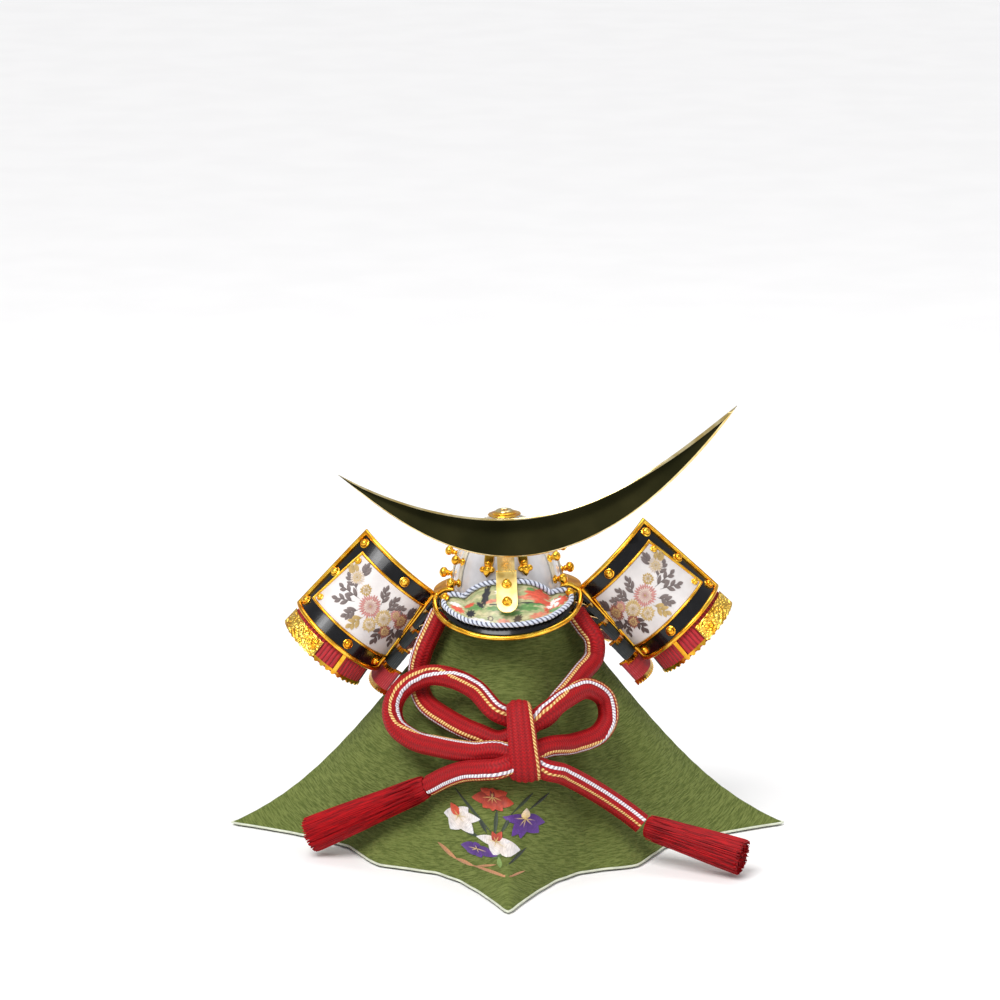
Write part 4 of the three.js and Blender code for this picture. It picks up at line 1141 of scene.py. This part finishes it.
def printed_leather():
    """The leather over the visor, printed with broken bands and blotches of soft colour."""
    u, v = grid(230, 70)
    inset = 4.4
    end = visor_end(inset)
    turn = end * np.sin(np.pi * (0.97 * u + 0.015 - 0.5))
    share = np.minimum(0.45, inset / visor_depth(turn))
    middle = 0.5 + (v - 0.5) * (1 - np.abs(turn / end) ** 4) ** 0.25
    surface = visor_at(turn, mix(share, 1 - share, middle))
    p, q = np.sin(np.radians(turn)) / math.sin(math.radians(end)), middle
    ripple = 0.03 * np.sin(p * 23) + 0.02 * np.sin(p * 51 + q * 9)
    band = smooth(0.2, 0.8, 0.5 + 0.5 * np.sin((q + ripple) * 26 + 2 * np.sin(p * 3)))[..., None]
    dye = mix(CREAM, SAGE, 0.4 * band)
    for x, y, wide, high, tilt, colour in BLOTCHES:
        tilt = math.radians(tilt)
        s = (p - x) * math.cos(tilt) + (q - y) * math.sin(tilt) * 0.5
        t = -(p - x) * math.sin(tilt) * 2 + (q - y) * math.cos(tilt)
        edge = 0.16 * np.sin(9 * np.arctan2(t / high, s / wide) + x * 40)
        mask = 1 - smooth(0.78 + edge, 1.05 + edge, np.hypot(s / wide, t / high))
        dye = mix(dye, colour, mask[..., None])
    pile = Pile()
    pile.shell(surface, 0.6, lift=0.9, out=-1, flow=stack(p * 30, q * 18, 0 * p), dye=dye)
    pile.build("visor_print", PRINT, ["visor_leather"])


def visor_braid():
    """A herringbone rope that follows the visor's edge, and a rivet at each end."""
    turn, down = visor_line(4.1, 900)
    path = spline(visor_spot(turn, down, 2.45)[::6], 900, closed=True)
    pile = Pile()
    rope(pile, path, visor_normal(turn, down), 1.3, 2.6, SKY, NAVY)
    dome = [(2.7, 0.0), (2.8, 0.6), (2.2, 0.9), (2.1, 1.7), (1.4, 2.4), (0.1, 2.7)]
    for turn in (-60.0, 60.0):
        pile.lathe(dome, visor_spot(turn, 0.34, 2.2), visor_normal(turn, 0.34), 20, look=1)
    pile.build("visor_rope", [LACING, GOLD], ["visor_braid"])


def crest_holder():
    """A bright strap up the visor with two knobs and a slot, folded, then a silver plate that
    rises behind the crest."""
    side, across = X, np.linspace(-1, 1, 17)
    face = visor_spot(0.0, np.linspace(0.71, 0.0, 40), 4.8)
    foot = np.clip(np.linspace(0, 5, 40), 0, 1)
    width = 5.3 * np.sqrt(np.clip(1 - (1 - foot) ** 2 * 0.9, 0, 1))
    pile = Pile()
    pile.shell(face[:, None] + side * (width[:, None] * across)[..., None], 0.8)
    top = face[-1]
    head = np.array([0, -39.2, RIM_HEIGHT + 34.0])
    rise = mix(top + np.array([0, 0.4, 0.2]), head, np.linspace(0, 1, 30)[:, None])
    pile.shell(rise[:, None] + side * (4.45 * across)[..., None], 0.8, look=1)
    bar = top + side * np.linspace(-5.2, 5.2, 12)[:, None]
    pile.sweep(bar, Y, Z, circle(0.9, 16), look=2)
    dome = [
        (2.5, 0.0), (2.7, 0.5), (2.45, 1.0), (1.7, 1.2), (1.75, 1.7), (2.1, 2.3), (1.7, 3.1),
        (0.9, 3.6), (0.1, 3.7),
    ]
    for down in (0.24, 0.54):
        pile.lathe(dome, visor_spot(0.0, down, 5.1), visor_normal(0.0, down), 24, look=3)
    slot = visor_spot(0.0, np.linspace(0.34, 0.45, 8), 5.0)
    pile.shell(slot[:, None] + side * (1.1 * np.linspace(-1, 1, 5))[..., None], 0.3, look=4)
    finishes = [STRAP_GOLD, SILVER, GOLD, GOLD, BLACK_LACQUER]
    pile.build("crest_strap", finishes, ["crest_holder"])


# The crest.
def crest_edge(q, sag, lean, flat, twist):
    m = 2 * q - 1
    tips = RIM_HEIGHT + mix(75.4, 102.9, q)
    return tips - 4 * q * (1 - q) * (sag + lean * m + flat * m**2 + twist * m**3)


def crescent():
    """A thin plate between two curved edges, its face bordered by polished bevels."""
    q = np.linspace(0.001, 0.999, 260)
    x = mix(-83.6, 121.0, q)
    upper = crest_edge(q, 39.5, 0.6, -4.7, -4.7)
    lower = crest_edge(q, 59.8, -2.3, -1.3, 6.2)
    deep = upper - lower
    bevel = np.minimum(0.8, deep * 0.2) * (1 + 1.3 * smooth(0.7, 0.92, q))
    front, back = -41.0, -39.5
    levels = [
        (upper, back), (upper, front + 0.55), (upper - bevel, front), (lower + bevel, front),
        (lower, front + 0.55), (lower, back),
    ]
    points = np.stack([stack(x, np.full_like(x, y), z) for z, y in levels], 1)
    faces = lattice(len(q), 6, False, True)
    column = np.tile(np.arange(6), len(q) - 1)
    main = (column == 2) | (column == 5)
    ring = np.arange(6)[None]
    pile = Pile()
    ends = [ring, ring[:, ::-1] + (len(q) - 1) * 6]
    pile.add(points, [faces[main], faces[~main], *ends], [0, 1, 1, 1])
    pile.build("crest_plate", [BRASS_PAINTED_REFLECTION, PALE_GOLD], ["crescent"])


# Laced lames, and the turn-backs.
PINE, CRIMSON = paint(22, 38, 42), paint(196, 14, 34)


def laced(pile, surface_at, columns, cord_width, length, rows, dye_at, wall=1.0, out=1):
    """A sheet of upright lacing cords side by side, each a rounded ridge of slanting threads, its
    colour darkened in the grooves between cords and between threads as painted shade.
    """
    cords = max(2, int(round(length / cord_width)))
    count = cords * columns + 1
    u, v = grid(count, rows)
    surface = surface_at(u, v)
    normal = normals_of(surface) * out
    ridge = np.abs(np.sin(np.pi * cords * u)) ** 0.6
    weave = np.abs(np.sin(v * 9 + 0.9 * np.sign(np.sin(2 * np.pi * cords * u))))
    surface = surface + normal * (0.45 * ridge + 0.1 * weave * ridge - 0.3)[..., None]
    # Painted shade: the dye darkened in the grooves between cords and, a little, between the
    # slanting threads.
    dye = dye_at(u, v) * (0.45 + 0.55 * ridge)[..., None] * (0.8 + 0.2 * weave)[..., None]
    pile.shell(surface, wall, out=out, flow=stack(v * 10, u * length, 0 * u), dye=dye)


def lame_at(k, azimuth, v):
    pitch = 44.4 / 5
    high = 0.4 - pitch * k + (0 if k == 0 else 1.6)
    height = mix(high, 0.4 - pitch * (k + 1), v)
    radius = 36.2 + 0.84 * (0.4 - height) + mix(-1.05, 1.05, v)
    around = np.radians(azimuth)
    return stack(radius * np.sin(around), -radius * np.cos(around), RIM_HEIGHT + height)


def neck_guard():
    """Five laced lames, flared like shingles, each with a gilt edge and a toothed gilt hem."""
    for k in range(5):
        start = 78 - 4 * k
        length = (36 + 9 * k) * math.radians(360 - 2 * start)
        colour = CRIMSON if k == 4 else PINE
        pile = Pile()
        laced(
            pile,
            lambda u, v: lame_at(k, mix(start + 0.4, 359.6 - start, u), mix(0.1, 0.82, v)),
            4, 2.5, length, 10, lambda u, v: np.broadcast_to(colour, (*u.shape, 3)),
        )
        u, v = grid(int(length * 2.4), 5)
        azimuth = mix(start, 360 - start, u)
        teeth = 0.5 + 0.5 * np.cos(2 * np.pi * u * length / 3.4)
        pile.shell(
            lame_at(k, azimuth, mix(0.8, 0.9 + 0.1 * teeth**0.7, v)), 0.9, lift=0.15, look=1
        )
        pile.shell(lame_at(k, azimuth, mix(0.0, 0.1, v)), 0.9, look=1)
        name = f"neck_lame_{k + 1}"
        pile.build(f"laced_lame_{k + 1}", [LACING, GOLD], [name])


WING_RISE = math.radians(42.8)


def wing_at(side, along, down):
    """The turn-back's surface between two arcs: along from its root to its free edge, down from
    its top edge to its bottom edge."""
    along, down = np.broadcast_arrays(np.asarray(along, float), np.asarray(down, float))

    def edge(root, radius, first, last):
        start, turn = math.radians(first), np.radians(mix(first, last, along))
        ahead = radius * (np.sin(turn) - math.sin(start))
        outward = -radius * (np.cos(turn) - math.cos(start))
        return stack(
            root[0] + outward * math.cos(WING_RISE),
            root[1] - ahead,
            RIM_HEIGHT + root[2] + outward * math.sin(WING_RISE),
        )

    top = edge((37, -11.6, 3.6), 41.7, 69.2, 141.2)
    low = edge((71, -6.4, -37.1), 26.4, 9.5, 175.9)
    return mix(top, low, down[..., None]) * np.array([side, 1.0, 1.0])


def wing_normal(side, along, down):
    e = 1e-3
    run = wing_at(side, np.asarray(along) + e, down) - wing_at(side, np.asarray(along) - e, down)
    fall = wing_at(side, along, np.asarray(down) + e) - wing_at(side, along, np.asarray(down) - e)
    return unit(np.cross(fall, run)) * side


def wing_spot(side, along, down, lift):
    lift = np.asarray(lift)[..., None]
    return wing_at(side, along, down) + wing_normal(side, along, down) * lift


def wing_length(down):
    return mix(41.7 * math.radians(72), 26.4 * math.radians(166.4), down)


ROOT_EASE = 6  # how much closer to the root the inner lines run
PANEL_RUN = 64.0  # the white panel's length, in which its flowers are placed
WING_HEIGHT = float(np.linalg.norm(wing_at(1, 1.0, 0.0) - wing_at(1, 1.0, 1.0)))


def wing_loop(inset):
    """A closed line on the turn-back at an inset from its edge, mitred at its four corners;
    the inner lines run close to the root."""
    d, count = inset / WING_HEIGHT, 70
    t = np.linspace(0, 1, count, endpoint=False)
    down = np.concatenate([d + 0 * t, mix(d, 1 - d, t), 1 - d + 0 * t, mix(1 - d, d, t)])
    near = (inset - ROOT_EASE if inset > 3 else inset) / wing_length(down)
    far = 1 - inset / wing_length(down)
    top, bottom = mix(near[0], far[0], t), mix(far[-count], near[-count], t)
    return np.concatenate([top, far[count : 2 * count], bottom, near[-count:]]), down


def wing_frame(pile, side, centre, half, lift, thick):
    """A rounded bar led round the turn-back at an inset from its edge."""
    rings = [
        wing_spot(side, *wing_loop(centre + half * math.cos(t)), lift + thick * math.sin(t))
        for t in full_turn(18)
    ]
    points = np.stack(rings, 1)
    pile.add(points, [lattice(len(points), 18, True, True)])


STUD = [
    (2.6, 0.0), (2.65, 0.35), (2.3, 0.6), (2.0, 0.7), (2.1, 1.2), (1.8, 1.9), (1.2, 2.4),
    (0.1, 2.65),
]
GREY, PINK, STRAW = paint(128, 112, 108), paint(218, 150, 142), paint(222, 190, 126)
RUST, DARK_LEAF, PALE = paint(160, 88, 66), paint(88, 66, 62), paint(240, 222, 206)
HONEY = paint(206, 172, 104)
# Flower sprays on the white leather: along, down, radius, petals, outer and inner colour.
BLOOMS = [
    (0.39, 0.63, 3.8, 18, STRAW, PALE), (0.25, 0.60, 3.8, 18, RUST, STRAW),
    (0.57, 0.40, 3.2, 14, HONEY, PALE), (0.24, 0.41, 3.4, 16, PINK, STRAW),
    (0.166, 0.43, 4.8, 20, RUST, HONEY), (0.32, 0.505, 5.0, 22, STRAW, PALE),
    (0.696, 0.373, 4.4, 18, PALE, STRAW), (0.464, 0.489, 6.0, 26, PINK, PALE),
]
# Branches of the sprays: along, down, turn in degrees, length, colour.
LEAVES = [
    (0.56, 0.50, 8, 13, GREY), (0.58, 0.55, 32, 11, GREY), (0.62, 0.46, 345, 10, GREY),
    (0.52, 0.58, 62, 8, GREY), (0.34, 0.44, 255, 9, GREY), (0.30, 0.42, 222, 8, GREY),
    (0.40, 0.42, 285, 9, GREY), (0.20, 0.50, 112, 11, DARK_LEAF), (0.16, 0.50, 150, 7, DARK_LEAF),
    (0.28, 0.56, 84, 10, DARK_LEAF), (0.70, 0.36, 350, 7, HONEY), (0.46, 0.60, 70, 9, HONEY),
    (0.66, 0.34, 290, 6, GREY), (0.14, 0.40, 250, 7, DARK_LEAF),
]


def lay(pile, place, centre, turn, length, width, colours, lift, swell=0.3, look=0, point=1.0):
    """One petal or leaf laid on a surface: place(s, t, lift) gives points from distances in
    millimetres. Its outline is rounder for a small point, and its middle stands proud."""
    s, w = grid(7, 5)
    outline = np.sin(np.pi * np.clip(s, 0.02, 0.985) ** point) ** 0.75
    x, y = s * length, (w * 2 - 1) * width / 2 * outline
    cosine, sine = math.cos(turn), math.sin(turn)
    crown = swell * (1 - (w * 2 - 1) ** 2) * np.sin(np.pi * np.clip(s, 0.05, 0.95))
    dye = mix(*colours, s[..., None])
    streak = 1 - 0.14 * np.abs(np.sin(w * 17))[..., None]
    spot = centre[0] + x * cosine - y * sine, centre[1] + x * sine + y * cosine
    points = np.stack([place(*spot, lift + rise) for rise in (crown + 0.06, crown * 0 - 0.2)])
    flow, tint = stack(y, x, 0 * x), dye * streak
    pile.add(points, two_skins(*s.shape), look, np.stack([flow, flow]), np.stack([tint, tint]))


def spray(pile, side, lift):
    """Chrysanthemums and leaves over the white panel, in silk laid on the leather."""

    def place(s, t, rise):
        return wing_spot(side, s / PANEL_RUN, t / WING_HEIGHT, rise)

    for along, down, turn, length, colour in LEAVES:
        centre = (along * PANEL_RUN, down * WING_HEIGHT)
        base = math.radians(turn)
        shades = (colour * 0.7, colour * 1.1)
        lay(pile, place, centre, base, length, 0.5, shades, lift, 0.12, 1)
        step = np.array([math.cos(base), math.sin(base)]) * length
        for n in range(1, 6):
            leaf = base + (0 if n == 5 else 0.6 * (-1) ** n)
            size = 5.4 - 0.4 * n, 2.0
            lay(pile, place, centre + step * n / 6, leaf, *size, shades, lift + 0.08, 0.2, 1)
    for n, (along, down, radius, petals, outer, inner) in enumerate(BLOOMS):
        centre = (along * PANEL_RUN, down * WING_HEIGHT)
        rings = (1.0, petals, outer), (0.66, petals - 6, inner)
        for ring, (share, count, tone) in enumerate(rings):
            rise = lift + 0.1 + 0.15 * ring
            for k in range(count):
                turn = 2 * math.pi * (k + 0.5 * ring + 0.1 * n) / count
                reach = radius * share * rng.uniform(0.86, 1.08)
                shades = (outer * 0.7, tone * rng.uniform(0.9, 1.1))
                lay(pile, place, centre, turn, reach, 1.15, shades, rise, 0.25, 1, 1.5)
        heart, axis = place(*centre, lift + 0.2), wing_normal(side, along, down)
        pile.ball(heart, 0.6, 1, HONEY * 0.8, squash=0.7, axis=axis, sides=8)


# Studs round the turn-back: along and down between its edges' insets. Its gilt bars: piece, node,
# inset, half width, lift, half thickness.
EDGE_STUDS = [(0.3, 0), (1, 0), (1, 0.5), (1, 1), (0.42, 1), (0.08, 1)]
EDGE_BARS = [
    ("outer_edge", "wing_rim", 1.0, 1.25, 0.2, 1.55),
    ("inner_edge", "wing_inner_rim", 9.55, 0.75, 0.75, 1.0),
]


def turn_backs():
    for name, side in (("left", -1), ("right", 1)):
        u, v = grid(64, 36)
        pile = Pile()
        pile.shell(wing_at(side, u, v), 1.0, out=-side)
        for along, down in EDGE_STUDS:
            t = mix(5.5 / WING_HEIGHT, 1 - 5.5 / WING_HEIGHT, down)
            s = mix(5.5 / wing_length(t), 1 - 5.5 / wing_length(t), along)
            pile.lathe(STUD, wing_spot(side, s, t, -0.1), wing_normal(side, s, t), 24, look=1)
        finishes = [BLACK_LACQUER, GOLD]
        pile.build(f"turn_back_{name}", finishes, [f"wing_plate_{name}"])
        for piece, node, *bar in EDGE_BARS:
            pile = Pile()
            wing_frame(pile, side, *bar)
            pile.build(f"{piece}_{name}", GOLD, [f"{node}_{name}"])

        pile = Pile()
        inset = 10.4
        down = mix(inset / WING_HEIGHT, 1 - inset / WING_HEIGHT, v)
        along = mix((inset - ROOT_EASE) / wing_length(down), 1 - inset / wing_length(down), u)
        crown = 16 * u * (1 - u) * v * (1 - v) * 0.7
        pile.shell(wing_spot(side, along, down, crown**0.5 * 0.5 + 0.9), 0.6, out=-side)
        spray(pile, side, 1.3)
        for spot in ((0.8, 0.26), (0.82, 0.76)):
            foot, normal = wing_spot(side, *spot, 1.2), wing_normal(side, *spot)
            pile.lathe(np.array(STUD) * 0.72, foot, normal, 20, look=2)
        finishes = [LEATHER, STITCH, GOLD]
        pile.build(f"white_panel_{name}", finishes, [f"wing_panel_{name}"])


def small_turn_backs():
    """The smaller turn-backs: red lacing by the free edge, dark by the root, a toothed gilt
    edge, a gilt bar across the red, and the chased gilt plate at the end."""
    for name, side in (("left", -1), ("right", 1)):
        base = -1.5

        def strip_at(u, v):
            return wing_spot(side, mix(0.1, 1.0, u), mix(0.84, 1.2, v), base)

        def dye_at(u, v):
            share = smooth(0.02, 0.05, u)[..., None]
            return mix(PINE, CRIMSON, share) + 0 * v[..., None]

        pile = Pile()
        laced(pile, strip_at, 6, 2.3, 66, 10, dye_at, out=-side, wall=0.8)
        u, v = grid(220, 5)
        teeth = 0.5 + 0.5 * np.cos(2 * np.pi * u * 66 / 3.6)
        along, down = mix(0.1, 1.0, u), mix(1.17, 1.185 + 0.03 * teeth**0.6, v)
        pile.shell(wing_at(side, along, down), 1.0, lift=base + 0.35, out=-side, look=1)
        u, v = grid(8, 40)
        along, down = mix(0.38, 0.41, u), mix(1.0, 1.18, v)
        pile.shell(wing_at(side, along, down), 0.9, lift=base + 0.75, out=-side, look=1)
        pile.build(f"small_turn_back_{name}", [LACING, GOLD], [f"small_turnback_{name}"])

        u, v = grid(120, 48)
        along, down = mix(0.57, 0.985, u), mix(1.035, 1.205, v)
        edge = smooth(0, 0.06, u) * smooth(0, 0.06, 1 - u)
        edge = edge * smooth(0, 0.09, v) * smooth(0, 0.09, 1 - v)
        scroll = np.abs(np.sin(u * 21 + 3.2 * np.sin(v * 7)))
        scroll = scroll * np.abs(np.sin(v * 11 + 2.4 * np.sin(u * 13)))
        curl = 0.5 + 0.5 * np.sin(14 * np.hypot((u * 3) % 1 - 0.5, v * 1.2 - 0.6) * 2 + 3 * u)
        rise = base + 0.9 + edge * (0.55 * scroll**0.7 + 0.35 * curl) + 0.35 * (1 - edge)
        pile = Pile()
        pile.shell(wing_spot(side, along, down, rise), 0.6, out=-side)
        pile.build(f"chased_plate_{name}", CARVED_GOLD, [f"gilt_plate_{name}"])


# Embroidery on the front of the cloth: irises, blades and a twig in satin stitch.
VIOLET, PLUM, MILK = paint(96, 44, 148), paint(64, 24, 104), paint(240, 238, 240)
FLAME, BRICK, GOLDEN = paint(214, 74, 38), paint(140, 26, 20), paint(232, 200, 120)
BLADE, BLADE_DARK, TWIG = paint(40, 58, 28), paint(30, 44, 22), paint(212, 148, 98)
# Irises: across, height, then petals as turn, length, width, root colour, tip colour.
IRISES = [
    (-24.6, 30.8, [(190, 7.2, 5.0, PALE, MILK), (7, 10.0, 3.8, PALE, MILK),
                   (47, 6.2, 4.5, PALE, MILK), (323, 8.6, 6.0, PALE, MILK),
                   (239, 7.5, 6.5, PALE, MILK), (133, 5.5, 4.0, FLAME, FLAME)]),
    (-15.2, 19.2, [(306, 3.4, 4.5, PLUM, VIOLET), (0, 9.4, 3.2, PLUM, VIOLET),
                   (118, 2.7, 3.5, PLUM, VIOLET), (208, 5.2, 3.5, PLUM, VIOLET),
                   (185, 7.5, 4.0, PLUM, VIOLET)]),
    (-5.45, 24.5, [(180, 9.4, 3.2, PALE, MILK), (11, 6.0, 3.0, PALE, MILK),
                   (344, 10.8, 5.5, PALE, MILK), (250, 5.8, 5.5, PALE, MILK),
                   (60, 5.0, 2.7, BRICK, FLAME), (120, 4.0, 2.7, BRICK, FLAME)]),
    (8.5, 33.4, [(170, 10.2, 3.2, PLUM, VIOLET), (340, 9.7, 4.5, PLUM, VIOLET),
                 (220, 8.1, 5.0, PLUM, VIOLET), (252, 7.3, 5.0, PLUM, VIOLET),
                 (313, 9.1, 5.5, PLUM, VIOLET), (80, 4.0, 3.6, GOLDEN, PALE)]),
    (-7.4, 42.6, [(22, 7.0, 4.0, FLAME, FLAME), (155, 6.4, 4.0, FLAME, FLAME),
                  (349, 9.5, 4.8, BRICK, FLAME), (190, 9.9, 4.8, BRICK, FLAME),
                  (315, 6.5, 5.0, BRICK, FLAME), (225, 6.5, 5.0, BRICK, FLAME),
                  (270, 5.3, 5.8, BRICK, FLAME), (90, 3.6, 7.0, FLAME, FLAME),
                  (70, 3.0, 2.0, BRICK, BRICK), (110, 3.0, 2.0, BRICK, BRICK)]),
]
# Blades: where they start and end, across and height, width, colour.
BLADES = [
    ((-8.0, 27.6), (-27.0, 42.2), 1.5, BLADE), ((-6.75, 26.1), (-5.5, 37.8), 2.0, BLADE),
    ((-10.7, 27.0), (-14.6, 33.0), 2.2, BLADE_DARK), ((-13.3, 24.4), (-24.3, 26.0), 2.0, BLADE),
    ((-4.2, 27.8), (2.4, 37.2), 1.8, BLADE), ((1.8, 36.6), (12.8, 43.8), 1.6, BLADE),
    ((10.2, 36.7), (21.2, 42.0), 1.4, BLADE_DARK), ((-0.9, 16.8), (9.2, 21.4), 1.5, BLADE_DARK),
    ((-8.0, 17.4), (-1.9, 21.5), 1.7, paint(86, 112, 52)),
    ((-4.5, 19.2), (-3.9, 15.1), 2.5, paint(136, 166, 82)),
]


# The twig, a stretch at a time: where it starts and ends, width.
TWIGS = [
    ((-35.7, 15.6), (-25.8, 11.1), 2.2), ((-27.0, 11.3), (-17.0, 11.4), 1.8),
    ((-18.4, 11.3), (1.4, 13.1), 1.3), ((0.4, 13.0), (8.5, 12.4), 0.9),
    ((-16.0, 11.6), (-6.0, 15.6), 0.8),
]


def embroidery():
    pile = Pile()

    def place(x, z, rise):
        return on_cloth(x, z, rise + 0 * x)

    def stroke(start, end, width, shades, *more):
        x, z = np.subtract(end, start)
        length = math.hypot(x, z)
        lay(pile, place, start, math.atan2(z, x), length, width, shades, 0.15, *more)

    for start, end, width, colour in BLADES:
        stroke(start, end, width, (colour * 1.1, colour * 0.8), 0.25, 0, 1.3)
    for start, end, width in TWIGS:
        stroke(start, end, width, (TWIG * 0.7, TWIG), 0.3)
    for x, z, petals in IRISES:
        for order, (turn, length, width, root, tip) in enumerate(petals):
            turn, lift = math.radians(turn), 0.35 + 0.07 * order
            size = length * 1.08, width * 1.25
            lay(pile, place, (x, z), turn, *size, (root, tip), lift, 0.55, 0, 0.62)
            vein = GOLDEN, tip * 0.9
            lay(pile, place, (x, z), turn, length * 0.6, 0.5, vein, lift + 0.5, 0.1)
    pile.build("embroidery", STITCH, (), roll=False)


def dress_stand():
    for name, finish in (("stand_base", WOOD), ("stand_post", WOOD), ("stand_head", PADDING)):
        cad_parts[name].material_slots[0].material = finish


bowl_shell()
ribs()
spears()
crown_fitting()
rim_band()
visor_board()
visor_bead()
printed_leather()
visor_braid()
crest_holder()
crescent()
neck_guard()
turn_backs()
small_turn_backs()
embroidery()
dress_stand()


# Light, floor and camera's surroundings.
def add_light(name, kind, place, target, energy, size):
    data = bpy.data.lights.new(name, kind)
    if kind == "AREA":
        data.shape = "RECTANGLE"
        data.size, data.size_y = size
    else:
        data.angle = math.radians(size[0])
    data.energy = energy
    light = bpy.data.objects.new(name, data)
    light.location = place
    light.rotation_euler = (Vector(target) - Vector(place)).to_track_quat("-Z", "Y").to_euler()
    bpy.context.scene.collection.objects.link(light)


def studio():
    """A pale floor that runs out of sight under a soft sky, with a key, a fill and a top light."""
    mesh = bpy.data.meshes.new("floor")
    mesh.from_pydata([(-9, -9, 0), (9, -9, 0), (9, 9, 0), (-9, 9, 0)], [], [(0, 1, 2, 3)])
    floor = bpy.data.objects.new("floor", mesh)
    mesh.materials.append(
        plain("studio_floor", paint(248, 247, 246), 0.75, vary=0.01, scale=0.05, depth=0.01)
    )
    bpy.context.scene.collection.objects.link(floor)
    floor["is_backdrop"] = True
    world = bpy.data.worlds.new("studio")
    world.use_nodes = True
    world.node_tree.nodes["Background"].inputs[0].default_value = (0.96, 0.97, 1.0, 1)
    world.node_tree.nodes["Background"].inputs[1].default_value = 0.5
    bpy.context.scene.world = world
    bpy.context.scene.view_settings.view_transform = "Standard"
    aim = (0, 0, 0.1)
    add_light("sky_light", "SUN", (-0.5, -0.8, 1.6), aim, 1.95, (32, 32))
    add_light("key_light", "AREA", (-0.7, -1.3, 1.4), aim, 7, (0.8, 0.5))
    add_light("fill_light", "AREA", (1.0, -1.1, 0.7), aim, 3, (0.5, 0.8))
    add_light("top_light", "AREA", (0.1, 0.5, 1.3), aim, 4, (0.9, 0.5))


studio()

box = [[[float(c) for c in corner] for corner in corners] for corners in (cad_box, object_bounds())]
